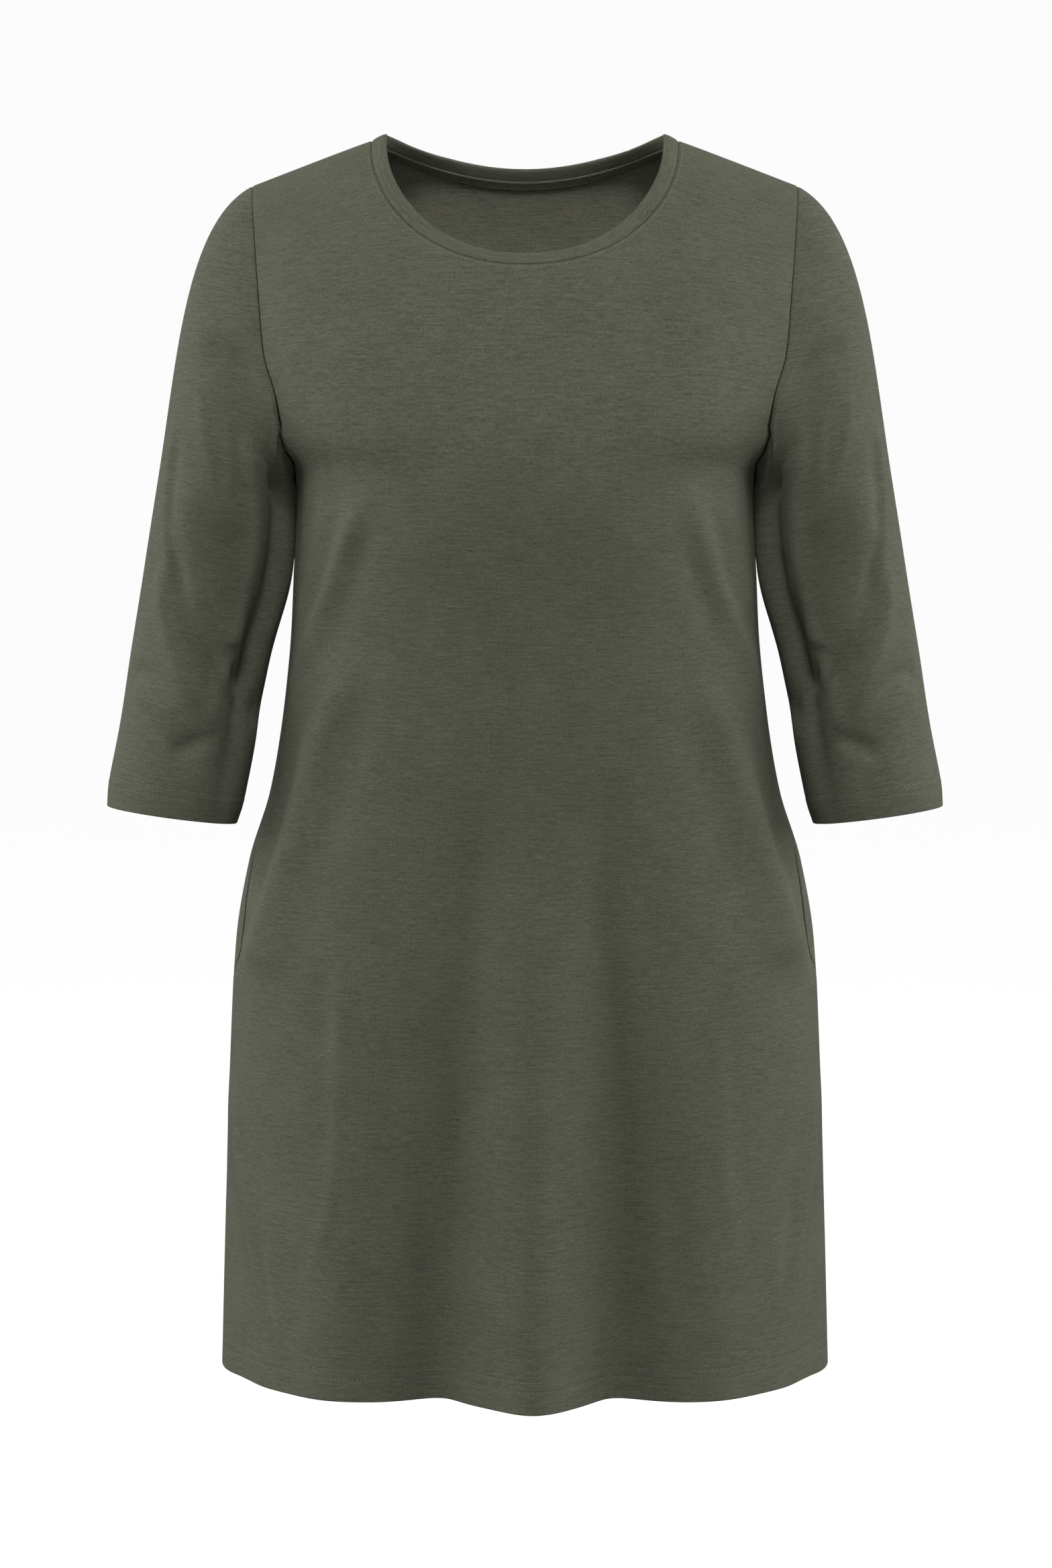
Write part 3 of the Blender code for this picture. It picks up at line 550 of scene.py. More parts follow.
def neckline(face, shares, fine=1200):
    """The band's seam on the right half, from the shoulder seam to the centre line."""
    share = SHOULDER_SEAM_FALL**2 * ARMHOLE_DEPTH / BACK_SCOOP.drop
    at_shoulder = -np.arcsin(share ** (BACK_SCOOP.drop_power / 2))
    swing = np.linspace(at_shoulder, face * pi / 2, fine)
    scoops = [np.where(swing > 0, front, back) for front, back in zip(FRONT_SCOOP, BACK_SCOOP)]
    scoop = Scoop(*scoops)
    depth = scoop.drop * np.abs(np.sin(swing)) ** (2 / scoop.drop_power)
    fall = np.sign(swing) * fall_of(depth)
    x = NECK_HALF_WIDTH * np.clip(np.cos(swing), 0, 1) ** (2 / scoop.across_power)
    turn = np.arcsin(x / half_width(np.abs(fall)))
    return at_lengths(np.column_stack([turn, fall]), shares)


def armhole(face, shares, fine=600):
    """The right sleeve's seam, from the shoulder seam to the underarm."""
    straight = np.linspace(SHOULDER_SEAM_FALL, face * ARMHOLE_BENDS_AT, fine)
    bend = np.linspace(0, pi / 2, fine)
    turn = ARMHOLE_TURN + (pi / 2 - ARMHOLE_TURN) * (1 - np.cos(bend))
    fall = face * (ARMHOLE_BENDS_AT + (1 - ARMHOLE_BENDS_AT) * np.sin(bend))
    path = np.column_stack([np.r_[np.full(fine, ARMHOLE_TURN), turn], np.r_[straight, fall]])
    return at_lengths(path, shares)


def side_depths(rows):
    stops = [ARMHOLE_DEPTH, MOUTH_TOP, MOUTH_LOW, LENGTH]
    return np.interp(rows - UNDERARM_ROW, np.r_[0, np.cumsum(SIDE_ROWS)], stops)


def side_seam(face, depths):
    """The right side from the underarm to the hem, with the pocket's mouth forward of it."""
    opens = np.clip((depths - MOUTH_TOP) / MOUTH_EASE_TOP, 0, 1)
    closes = np.clip((MOUTH_LOW - depths) / MOUTH_EASE_LOW, 0, 1)
    mouth = np.minimum(opens, closes)
    mouth = mouth * mouth * (3 - 2 * mouth)
    half_gap = SEAM_GAP / 2 / np.where(face > 0, front_reach(1.0), back_reach(1.0))
    turn = pi / 2 - half_gap - face * mouth * MOUTH_FORWARD
    if face < 0:
        turn = turn - mouth * MOUTH_SLIT
    return np.column_stack([turn, face * fall_of(depths)])


def half_panel(face, neck_row, rows, shares):
    """Spots of the right half of a panel, rows from the shoulder to the hem."""
    upper = rows[rows < UNDERARM_ROW]
    lower = rows[rows >= UNDERARM_ROW]
    outer_edge = np.vstack([armhole(face, upper / UNDERARM_ROW), side_seam(face, side_depths(lower))])
    beside_neck = rows[rows <= neck_row]
    neck = neckline(face, beside_neck / neck_row)
    bottom_of_neck = neckline(face, [0.0, 1.0])[-1, 1]
    level = face * CENTRE_FALL_AT_UNDERARM
    below = rows[rows > neck_row]
    falls = np.interp(
        below, [neck_row, UNDERARM_ROW, HEM_ROW], [bottom_of_neck, level, face * HEM_FALL]
    )
    inner_edge = np.vstack([neck, np.column_stack([0 * falls, falls])])
    inner_edge[len(neck) - 1, 0] = 0
    for edge in (inner_edge, outer_edge):
        edge[0, 1] += face * SEAM_GAP / 2 / front_reach(1.0)
    return inner_edge[:, None, :] + (outer_edge - inner_edge)[:, None, :] * shares[None, :, None]


def nearest(points, line):
    """Distance of each point from a line given by close points."""
    flat = points.reshape(-1, 3)
    best = np.full(len(flat), np.inf)
    for stop in line:
        best = np.minimum(best, ((flat - stop) ** 2).sum(axis=1))
    return np.sqrt(best).reshape(points.shape[:-1])


def dip(distance, at, depth, width):
    return depth * np.exp(-(((distance - at) / width) ** 2))


def rounded(distance, wall):
    """How far a face draws in near a folded edge, for a wall of that thickness."""
    near = 1 - np.clip(distance / (0.6 * wall), 0, 1)
    return 0.42 * wall * (1 - np.sqrt(1 - near**2))


def piled(fine_ends, middle):
    """Shares from 0 to 1 with close steps at both ends."""
    ends = np.array(fine_ends)
    return np.unique(np.round(np.r_[ends, middle, 1 - ends], 7))


def add_cloth(sheet, outer, inner, cloth):
    """A grid in the sheet with its outer points, wall and map."""
    rows, columns = outer.shape[:2]
    first = len(sheet.verts)
    made = bmesh.ops.create_grid(sheet, x_segments=columns - 1, y_segments=rows - 1, size=1)["verts"]
    wall = sheet.verts.layers.float_vector["wall"]
    spread = sheet.loops.layers.uv["cloth"]
    places = outer.reshape(-1, 3)
    walls = (inner - outer).reshape(-1, 3)
    flat = cloth.reshape(-1, 2)
    number = {vert: k for k, vert in enumerate(made)}
    for vert, k in number.items():
        vert.co = places[k]
        vert[wall] = walls[k]
    for face in {face for vert in made for face in vert.link_faces}:
        face.smooth = True
        for loop in face.loops:
            loop[spread].uv = flat[number[loop.vert]]
    return first


def new_sheet():
    sheet = bmesh.new()
    sheet.verts.layers.float_vector.new("wall")
    sheet.loops.layers.uv.new("cloth")
    return sheet


def finish_cloth(name, sheet, face_cloth, back_cloth):
    """Merges the sheet's halves, gives it its wall and makes it a piece."""
    wall = sheet.verts.layers.float_vector["wall"]
    bmesh.ops.remove_doubles(sheet, verts=sheet.verts[:], dist=1e-6)
    copied = bmesh.ops.extrude_face_region(sheet, geom=sheet.faces[:], use_keep_orig=True)
    for item in copied["geom"]:
        if isinstance(item, bmesh.types.BMVert):
            item.co += item[wall]
        elif isinstance(item, bmesh.types.BMFace):
            item.material_index = 1
    bmesh.ops.recalc_face_normals(sheet, faces=sheet.faces[:])
    mesh = bpy.data.meshes.new(name)
    sheet.to_mesh(mesh)
    sheet.free()
    mesh.shade_smooth()
    mesh.materials.append(face_cloth)
    mesh.materials.append(back_cloth)
    piece = bpy.data.objects.new(name, mesh)
    scene.collection.objects.link(piece)
    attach(piece, "root")
    return piece


def grain(spots, steps=24):
    """The cloth's own map in metres on a panel: across from the fold line and down from the top."""
    turn, fall = spots[..., :1], spots[..., 1:]
    middles = turn * (np.arange(steps) + 0.5) / steps
    wide = half_width(np.abs(fall))
    deep = np.where(fall > 0, front_reach(np.abs(fall)), back_reach(np.abs(fall)))
    across = np.hypot(wide * np.cos(middles), deep * np.sin(middles)).mean(axis=-1) * turn[..., 0]
    falls = np.linspace(0, HEM_FALL, 200)
    down = depth_of(falls) + front_reach(falls) * np.clip(1 - falls, 0, 1)
    return np.stack([across, np.interp(np.abs(fall[..., 0]), falls, down)], axis=-1)


def mapped(outer):
    """The cloth's own map in metres: across from the first column and down from the first row."""
    across = np.linalg.norm(np.diff(outer, axis=1), axis=-1)
    across = np.concatenate([np.zeros((len(outer), 1)), np.cumsum(across, axis=1)], axis=1)
    down = np.linalg.norm(np.diff(outer, axis=0), axis=-1).mean(axis=1)
    down = np.r_[0, np.cumsum(down)][:, None] + 0 * across
    return np.stack([across, down], axis=-1)


def make_panel(name, face, neck_row):
    rows = np.unique(
        np.round(
            np.r_[
                0, 0.02, 0.05, 0.09, 0.14, 0.2, 0.3,
                np.arange(0.5, UNDERARM_ROW, 0.25),
                neck_row + np.array([-0.12, -0.06, -0.02, 0, 0.02, 0.06, 0.12]),
                np.arange(UNDERARM_ROW, HEM_ROW - 0.7, 0.14),
                np.linspace(HEM_ROW - 0.7, HEM_ROW - 0.06, 26),
                HEM_ROW - np.array([0.05, 0.04, 0.03, 0.022, 0.015, 0.009, 0.004, 0]),
            ],
            5,
        )
    )
    shares = piled([0, 0.002, 0.005, 0.009, 0.014, 0.02], np.linspace(0.028, 0.972, 72))
    half = half_panel(face, neck_row, rows, shares)
    edges = [
        body(neckline(face, np.linspace(0, 1, 300))),
        body(armhole(face, np.linspace(0, 1, 300))),
        body(side_seam(face, np.linspace(ARMHOLE_DEPTH, LENGTH, 400))),
        body(np.linspace(half[0, 0], half[0, -1], 150)),
    ]
    sheet = new_sheet()
    for side in (1, -1):
        spots = half * [side, 1]
        points = body(spots)
        outward = normals(body, spots)
        depth = depth_of(spots[..., 1])
        up_from_hem = LENGTH - depth
        sunk = np.zeros(depth.shape)
        for line in edges:
            sunk += dip(nearest(points, line * [side, 1, 1]), 0, SEAM_DIP, SEAM_DIP_WIDTH)
        for row in HEM_ROWS:
            sunk += dip(up_from_hem, row, THREAD_DIP, THREAD_DIP_WIDTH)
        in_hem = np.clip((HEM_ROWS[1] + 0.001 - up_from_hem) / 0.001, 0, 1)
        wall = CLOTH + (HEM_CLOTH - CLOTH) * in_hem
        drawn_in = rounded(up_from_hem, wall)
        outer = points - (sunk + drawn_in)[..., None] * outward
        inner = points - (wall - drawn_in)[..., None] * outward
        add_cloth(sheet, outer, inner, grain(spots))
    return finish_cloth(name, sheet, jersey, jersey_back_painted_light)


front = make_panel("front", 1, FRONT_NECK_ROW)
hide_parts("front_panel")
back = make_panel("back", -1, BACK_NECK_ROW)
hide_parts("back_panel")

# Sleeves
# One set-in sleeve a side in jersey, elbow length, cut in one piece and closed by a seam under the
# arm. Its head is sewn into the armhole, and its cuff is turned up and stitched with two needles.
Ring = namedtuple("Ring", "share x y z half_width half_depth lean")
ARM = (
    Ring(0.00, 0.2084, -0.004, -0.2500, 0.0480, 0.0540, 9.8),
    Ring(0.25, 0.2156, -0.005, -0.3060, 0.0498, 0.0530, 9.8),
    Ring(0.50, 0.2262, -0.010, -0.3616, 0.0480, 0.0505, 9.8),
    Ring(0.75, 0.2350, -0.017, -0.4170, 0.0474, 0.0488, 9.8),
    Ring(0.92, 0.2420, -0.022, -0.4535, 0.0474, 0.0478, 8.8),
    Ring(1.00, 0.2453, -0.024, -0.4710, 0.0454, 0.0460, 8.0),
)
ARM_LEAN = radians(9.8)
RING_FORWARD = radians(1.5)
CAP_START_PULL = 0.74
CAP_END_PULL = 1.16
CAP_START_OUT = 0.88
CAP_START_DOWN = 0.48
UNDERARM_OUT = 0.06
ARM_GIRTH = 0.32
ARM_LENGTH = 0.225
SLEEVE_FOLDS = (
    Fold(0.30, 1.15, 0.46, 1.62, 0.014, -0.004, -0.006),
    Fold(0.18, 1.05, 0.24, 1.60, 0.016, 0.004, 0.003),
    Fold(0.60, 1.30, 0.78, 1.55, 0.016, -0.003, -0.004),
    Fold(0.33, 0.70, 0.42, 1.10, 0.014, 0.003, 0.002),
)
SLEEVE_CREASES = (
    # the long ridge down the outside and the deep crease inwards from it to the elbow
    Crease(0.0026, 0.0045, ((0.088, 0.78), (0.096, 0.92), (0.112, 1.05), (0.135, 1.17), (0.165, 1.34))),
    Crease(-0.0016, 0.0055, ((0.112, 0.82), (0.135, 1.02), (0.155, 1.17))),
    Crease(-0.0052, 0.0060, ((0.150, 1.13), (0.178, 1.28), (0.218, 1.39), (0.268, 1.49), (0.330, 1.59), (0.420, 1.70))),
    Crease(-0.0036, 0.0130, ((0.178, 1.12), (0.206, 1.26), (0.244, 1.36), (0.294, 1.45), (0.350, 1.54), (0.420, 1.64))),
    Crease(0.0046, 0.0058, ((0.118, 1.21), (0.146, 1.35), (0.184, 1.46), (0.234, 1.56), (0.296, 1.66), (0.380, 1.78))),
    Crease(0.0012, 0.0050, ((0.150, 0.58), (0.185, 0.75), (0.216, 0.858), (0.246, 1.07))),
    Crease(0.0011, 0.0050, ((0.245, 0.56), (0.262, 0.78), (0.275, 1.00))),
    # across the elbow
    Crease(-0.0030, 0.0065, ((0.070, 1.600), (0.110, 1.575), (0.155, 1.580), (0.210, 1.620), (0.270, 1.665))),
    Crease(0.0018, 0.0080, ((0.090, 1.660), (0.150, 1.640), (0.220, 1.680), (0.290, 1.720))),
    Crease(-0.0042, 0.0060, ((0.225, 1.810), (0.262, 1.775), (0.300, 1.745), (0.346, 1.718))),
    Crease(-0.0045, 0.0065, ((0.330, 1.43), (0.356, 1.51), (0.384, 1.60))),
    # the inner side, full beside the body under the arm
    Crease(0.0038, 0.0160, ((0.492, 0.30), (0.486, 0.75), (0.482, 1.05), (0.476, 1.25), (0.470, 1.46))),
    # the edge where the inner side turns away, and the creases to the underarm
    Crease(0.0031, 0.0065, ((0.296, 0.36), (0.312, 0.75), (0.345, 1.15), (0.345, 1.45), (0.312, 1.66), (0.305, 2.20))),
    Crease(-0.0085, 0.0110, ((0.372, 0.38), (0.392, 0.80), (0.416, 1.15), (0.412, 1.45), (0.385, 1.70), (0.372, 2.30))),
    Crease(-0.0050, 0.0065, ((0.120, 0.51), (0.180, 0.42), (0.220, 0.341), (0.273, 0.190), (0.318, 0.105))),
    Crease(0.0020, 0.0035, ((0.305, 0.04), (0.358, 0.114), (0.375, 0.35), (0.392, 0.56))),
    # behind
    Crease(-0.0047, 0.0070, ((0.640, 1.30), (0.690, 1.42), (0.750, 1.51), (0.815, 1.57))),
    Crease(0.0025, 0.0060, ((0.700, 1.49), (0.760, 1.58), (0.840, 1.62))),
    Crease(-0.0028, 0.0050, ((0.660, 1.66), (0.730, 1.64), (0.800, 1.65))),
    Crease(-0.0040, 0.0070, ((0.700, 0.16), (0.740, 0.30), (0.800, 0.42), (0.860, 0.50))),
    Crease(0.0022, 0.0050, ((0.760, 0.60), (0.780, 0.85), (0.760, 1.12))),
    Crease(0.0020, 0.0050, ((0.880, 0.80), (0.900, 1.00), (0.875, 1.22))),
)
SLEEVE_FOLDS_FULL_AT = 0.33
CUFF_ROWS = (0.0140, 0.0200)
SLEEVE_STEPS = 160

arm_share = [ring.share for ring in ARM]
arm_curves = {
    column: smooth_curve(arm_share, [getattr(ring, column) for ring in ARM])
    for column in ("x", "y", "z", "half_width", "half_depth", "lean")
}


def arm_ring(round_share, share):
    """Points of the sleeve's tube: round from the outside over the front, share 0 to 1 down it."""
    read = {column: curve(share)[..., None] for column, curve in arm_curves.items()}
    middle = np.concatenate([read["x"], read["y"], read["z"]], axis=-1)
    swing = (2 * pi * round_share)[..., None]
    lean = np.radians(read["lean"])
    sideways = np.concatenate([np.cos(lean), 0 * lean, np.sin(lean)], axis=-1)
    forward = np.array([0, -np.cos(RING_FORWARD), np.sin(RING_FORWARD)])
    reach_out = read["half_width"] * np.cos(swing) * sideways
    return middle + reach_out + read["half_depth"] * np.sin(swing) * forward


armhole_shares = np.linspace(0, 1, 2 * SLEEVE_STEPS + 1)
armhole_spots = np.vstack(
    [
        armhole(1, np.linspace(0, 1, SLEEVE_STEPS + 1)),
        armhole(-1, np.linspace(0, 1, SLEEVE_STEPS + 1))[-2::-1],
    ]
)
armhole_points = body(armhole_spots)
armhole_normals = normals(body, armhole_spots)


def seam_frame(points, outward):
    """Across a closed seam: the unit direction in the cloth, to the side that the seam opens to."""
    along = np.roll(points, -1, axis=0) - np.roll(points, 1, axis=0)
    return unit(np.cross(outward, along))


armhole_across = seam_frame(armhole_points[:-1], armhole_normals[:-1])
armhole_across = np.vstack([armhole_across, armhole_across[:1]])


def leaving(round_share):
    """The way the sleeve sets off from its seam: outwards at the shoulder, down at the underarm."""
    out = 1 - ((1 - np.cos(2 * pi * round_share)) / 2) ** 3
    down = CAP_START_DOWN + (1 - CAP_START_DOWN) * (1 - out)
    return unit(np.stack([CAP_START_OUT * out + UNDERARM_OUT, 0 * out, -down], axis=-1))


armhole_leaving = leaving(armhole_shares)
bend = np.arctan2(
    np.sum(armhole_leaving * armhole_normals, axis=-1),
    np.sum(armhole_leaving * armhole_across, axis=-1),
)[:, None]
sleeve_edge = armhole_points + SEAM_GAP * (
    np.cos(bend / 2) * armhole_across + np.sin(bend / 2) * armhole_normals
)


def around_armhole(values, round_share):
    wrapped = np.mod(round_share, 1.0)
    return np.stack([np.interp(wrapped, armhole_shares, values[:, k]) for k in range(3)], axis=-1)


def sleeve(spots):
    """Points of the right sleeve: round share, and down it, 0 at the seam, 1 the top ring, 2 the cuff."""
    round_share, down = spots[..., 0], spots[..., 1]
    t = np.clip(down, 0, 1)[..., None]
    swing = 2 * pi * round_share
    start = around_armhole(sleeve_edge, round_share)
    ring = arm_ring(round_share, np.zeros_like(round_share))
    span = np.linalg.norm(ring - start, axis=-1, keepdims=True)
    down_arm = np.array([np.sin(ARM_LEAN), 0, -np.cos(ARM_LEAN)])
    cap = start * (2 * t**3 - 3 * t**2 + 1) + ring * (3 * t**2 - 2 * t**3)
    cap = cap + CAP_START_PULL * span * leaving(round_share) * (t**3 - 2 * t**2 + t)
    cap = cap + CAP_END_PULL * span * down_arm * (t**3 - t**2)
    tube = arm_ring(round_share, np.clip(down - 1, 0, 1))
    points = np.where(down[..., None] < 1, cap, tube)
    folds = [
        fold._replace(
            across_top=fold.across_top * ARM_GIRTH,
            across_low=fold.across_low * ARM_GIRTH,
            down_top=fold.down_top * ARM_LENGTH,
            down_low=fold.down_low * ARM_LENGTH,
        )
        for fold in SLEEVE_FOLDS
    ]
    around = np.mod(round_share, 1.0) * ARM_GIRTH
    stands = folded(folds, around, down * ARM_LENGTH)
    stands = stands * np.clip(down / SLEEVE_FOLDS_FULL_AT, 0, 1)
    creases = [
        crease._replace(path=[(share * ARM_GIRTH, drop * ARM_LENGTH) for share, drop in crease.path])
        for crease in SLEEVE_CREASES
    ]
    stands = stands + creased(creases, around, down * ARM_LENGTH)
    outward = np.cos(swing)[..., None] * np.array([1.0, 0, 0])
    outward = outward + np.sin(swing)[..., None] * np.array([0, -1.0, 0])
    return points + stands[..., None] * outward


def make_sleeve(name, side):
    cap_rows = np.r_[0, 0.004, 0.008, 0.013, 0.02, 0.03, np.linspace(0.05, 1, 34)]
    hem_share = 0.026 / ARM_LENGTH
    tube_rows = np.linspace(1, 2 - hem_share, 60)[1:]
    hem_rows = 2 - np.linspace(hem_share, 0.0026 / ARM_LENGTH, 26)[1:]
    edge_rows = 2 - np.array([0.0018, 0.0012, 0.0008, 0.0005, 0.0003, 0.0001, 0]) / ARM_LENGTH
    down = np.r_[cap_rows, tube_rows, hem_rows, edge_rows]
    seam_steps = 0.5 + np.array([-0.010, -0.006, -0.003, 0, 0.003, 0.006, 0.010])
    round_share = np.unique(np.round(np.r_[np.linspace(0, 1, SLEEVE_STEPS + 1), seam_steps], 6))
    spots = np.stack(np.meshgrid(round_share, down), axis=-1)
    points = sleeve(spots)
    points[:, -1] = points[:, 0]
    outward = -normals(sleeve, spots)
    outward[:, -1] = outward[:, 0]
    up_from_cuff = (2 - spots[..., 1]) * ARM_LENGTH
    sunk = dip(nearest(points, armhole_points), 0, SEAM_DIP, SEAM_DIP_WIDTH)
    sunk += dip((spots[..., 0] - 0.5) * ARM_GIRTH, 0, SEAM_DIP, SEAM_DIP_WIDTH)
    for row in CUFF_ROWS:
        sunk += dip(up_from_cuff, row, THREAD_DIP, THREAD_DIP_WIDTH)
    in_hem = np.clip((CUFF_ROWS[1] + 0.001 - up_from_cuff) / 0.001, 0, 1)
    wall = CLOTH + (HEM_CLOTH - CLOTH) * in_hem
    drawn_in = rounded(up_from_cuff, wall)
    outer = points - (sunk + drawn_in)[..., None] * outward
    inner = points - (wall - drawn_in)[..., None] * outward
    sheet = new_sheet()
    mirrored = np.array([side, 1, 1])
    down_arm = np.array([np.sin(ARM_LEAN), 0, -np.cos(ARM_LEAN)])
    cloth = np.stack([round_share * ARM_GIRTH + 0 * up_from_cuff, points @ down_arm], axis=-1)
    add_cloth(sheet, outer * mirrored, inner * mirrored, cloth * [side, 1])
    return finish_cloth(name, sheet, jersey, jersey_back_painted_light)


sleeve_right = make_sleeve("sleeve_worn_right", 1)
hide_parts("sleeve_right")
sleeve_left = make_sleeve("sleeve_worn_left", -1)
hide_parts("sleeve_left")

# Neckband and neck tape
# A narrow strip of the same jersey folded double and sewn round the neck, closed by a short seam
# behind one shoulder. Inside the back neck a flat strip of jersey covers the band's seam.
BAND_CLOTH = 0.0022
BAND_WIDTH = 0.0108
BAND_LEAN_FRONT = radians(-13)
BAND_LEAN_SIDE = radians(10)
BAND_LEAN_BACK = radians(-4)
BAND_STEPS = 150
BAND_SEAM_ACROSS = 0.079
BandRow = namedtuple("BandRow", "up sunk thick")
BAND_ROWS = (
    BandRow(0.00, 0.28, 0.62),
    BandRow(0.03, 0.12, 0.83),
    BandRow(0.08, 0.00, 1.00),
    BandRow(0.20, -0.08, 1.10),
    BandRow(0.40, -0.12, 1.16),
    BandRow(0.60, -0.10, 1.12),
    BandRow(0.76, -0.03, 1.02),
    BandRow(0.87, 0.07, 0.84),
    BandRow(0.94, 0.18, 0.62),
    BandRow(0.98, 0.30, 0.38),
    BandRow(1.00, 0.42, 0.14),
)
TAPE_CLOTH = 0.0011
TAPE_WIDTH = 0.0076
TAPE_ABOVE_SEAM = 0.0016
TAPE_CLEAR_TOP = 0.0025
TAPE_CLEAR_LOW = 0.0014


def neck_ring(steps):
    """Spots all round the neck seam, from the centre front over the right shoulder, once round."""
    shares = np.linspace(0, 1, steps + 1)
    right = np.vstack([neckline(1, shares)[::-1], neckline(-1, shares)[1:]])
    left = right[-2:0:-1] * [-1, 1]
    return np.vstack([right, left])


def band_frame(spots):
    seam = body(spots)
    outward = normals(body, spots)
    across = seam_frame(seam, outward)
    to_side = (np.abs(seam[:, 0]) / NECK_HALF_WIDTH) ** 2
    middle_lean = np.where(spots[:, 1] > 0, BAND_LEAN_FRONT, BAND_LEAN_BACK)
    lean = (middle_lean + (BAND_LEAN_SIDE - middle_lean) * to_side)[:, None]
    rising = across * np.cos(lean) + outward * np.sin(lean)
    facing = outward * np.cos(lean) - across * np.sin(lean)
    return seam, outward, across, rising, facing


def make_neckband():
    spots = neck_ring(BAND_STEPS)
    seam, outward, across, rising, facing = band_frame(spots)
    base = seam + SEAM_GAP * across
    band_seam = dip(np.abs(seam[:, 0] - BAND_SEAM_ACROSS) + (seam[:, 1] < 0), 0, 0.30, 0.0012)[:, None]
    outer, inner = [], []
    for row in BAND_ROWS:
        face_way = unit(outward + (facing - outward) * min(row.up * 6, 1))
        surface = base + row.up * BAND_WIDTH * rising - (row.sunk + band_seam) * BAND_CLOTH * face_way
        outer.append(surface)
        inner.append(surface - (row.thick - band_seam) * BAND_CLOTH * face_way)
    closed = np.arange(len(spots) + 1) % len(spots)
    outer = np.array(outer)[:, closed]
    inner = np.array(inner)[:, closed]
    sheet = new_sheet()
    add_cloth(sheet, outer, inner, mapped(outer))
    return finish_cloth("band", sheet, jersey, jersey_inside_painted_light)


def make_neck_tape():
    shares = np.linspace(0, 1, 90)
    right = neckline(-1, shares)
    spots = np.vstack([right[:-1] * [-1, 1], right[::-1]])
    seam = body(spots)
    outward = normals(body, spots)
    along = np.gradient(seam, axis=0)
    up = unit(np.cross(along, outward))
    up = np.where(up[:, 2:3] < 0, -up, up)
    outer, inner = [], []
    for share in (0, 0.04, 0.12, 0.3, 0.5, 0.7, 0.88, 0.96, 1):
        clear = TAPE_CLEAR_TOP + (TAPE_CLEAR_LOW - TAPE_CLEAR_TOP) * share
        edge = rounded(min(share, 1 - share) * TAPE_WIDTH, TAPE_CLOTH)
        height = TAPE_ABOVE_SEAM - share * TAPE_WIDTH
        surface = seam + height * up - (clear + edge) * outward
        outer.append(surface)
        inner.append(surface - (TAPE_CLOTH - 2 * edge) * outward)
    sheet = new_sheet()
    add_cloth(sheet, np.array(outer), np.array(inner), mapped(np.array(outer)))
    return finish_cloth("tape", sheet, jersey, jersey_inside_painted_light)


band = make_neckband()
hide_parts("neckband")
tape = make_neck_tape()
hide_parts("neck_tape")

# Pocket bags
# A flat bag of jersey hangs behind the front at each side, sewn to the edges of the mouth.
POCKET_CLOTH = 0.0016
BAG_BEHIND = 0.0021
BAG_PAST_MOUTH = radians(3.5)
BAG_LIP_DEEPER = 0.0012
BAG_STARTS_AT = 7 / 13
LIP_STARTS_AT = 12 / 13
BAG_ROWS = (21, 29)


def make_pocket_bag(name, side):
    rows = np.linspace(*BAG_ROWS, 60)
    shares = np.linspace(BAG_STARTS_AT, 1, 40)
    spots = half_panel(1, FRONT_NECK_ROW, np.r_[0, 9, 16, rows], shares)[3:]
    past = np.clip((shares - LIP_STARTS_AT) / (1 - LIP_STARTS_AT), 0, 1)
    spots[..., 0] = np.minimum(spots[..., 0] + BAG_PAST_MOUTH * past, pi / 2)
    spots = spots * [side, 1]
    outward = normals(body, spots)
    points = body(spots)
    outer = points - (BAG_BEHIND + BAG_LIP_DEEPER * past)[None, :, None] * outward
    inner = outer - POCKET_CLOTH * outward
    sheet = new_sheet()
    add_cloth(sheet, outer, inner, grain(spots))
    return finish_cloth(name, sheet, jersey, jersey_back_painted_light)


bag_right = make_pocket_bag("bag_right", 1)
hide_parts("pocket_bag_right")
bag_left = make_pocket_bag("bag_left", -1)
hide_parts("pocket_bag_left")

# Seam allowances
# Inside, the raw edges of each seam are overlocked together and lie flat on the cloth: round both
# armholes, along the shoulders, and down the sides above and below the pockets.
ALLOWANCE_WIDTH = 0.0065
ALLOWANCE_PAST_SEAM = 0.0010
ALLOWANCE_CLOTH = 0.0016
ALLOWANCE_CLEAR = 0.0003
ALLOWANCE_CURL = 8.0
SHOULDER_FROM_NECK = 0.03
POCKET_ENDS_AT = 0.712


def add_allowance(sheet, seam, outward, across, low, high):
    """A flat strip inside the cloth along close points of a seam, from low to high across it."""
    shares = np.array([0, 0.03, 0.10, 0.30, 0.50, 0.70, 0.90, 0.97, 1])[:, None, None]
    reach = low + (high - low) * shares
    edge = rounded(np.minimum(shares, 1 - shares) * (high - low), ALLOWANCE_CLOTH)
    sunk = CLOTH + ALLOWANCE_CLEAR + ALLOWANCE_CURL * reach**2 + edge
    outer = seam + reach * across - sunk * outward
    inner = outer - (ALLOWANCE_CLOTH - 2 * edge) * outward
    for side in (1, -1):
        mirrored = np.array([side, 1, 1])
        add_cloth(sheet, outer * mirrored, inner * mirrored, mapped(outer))


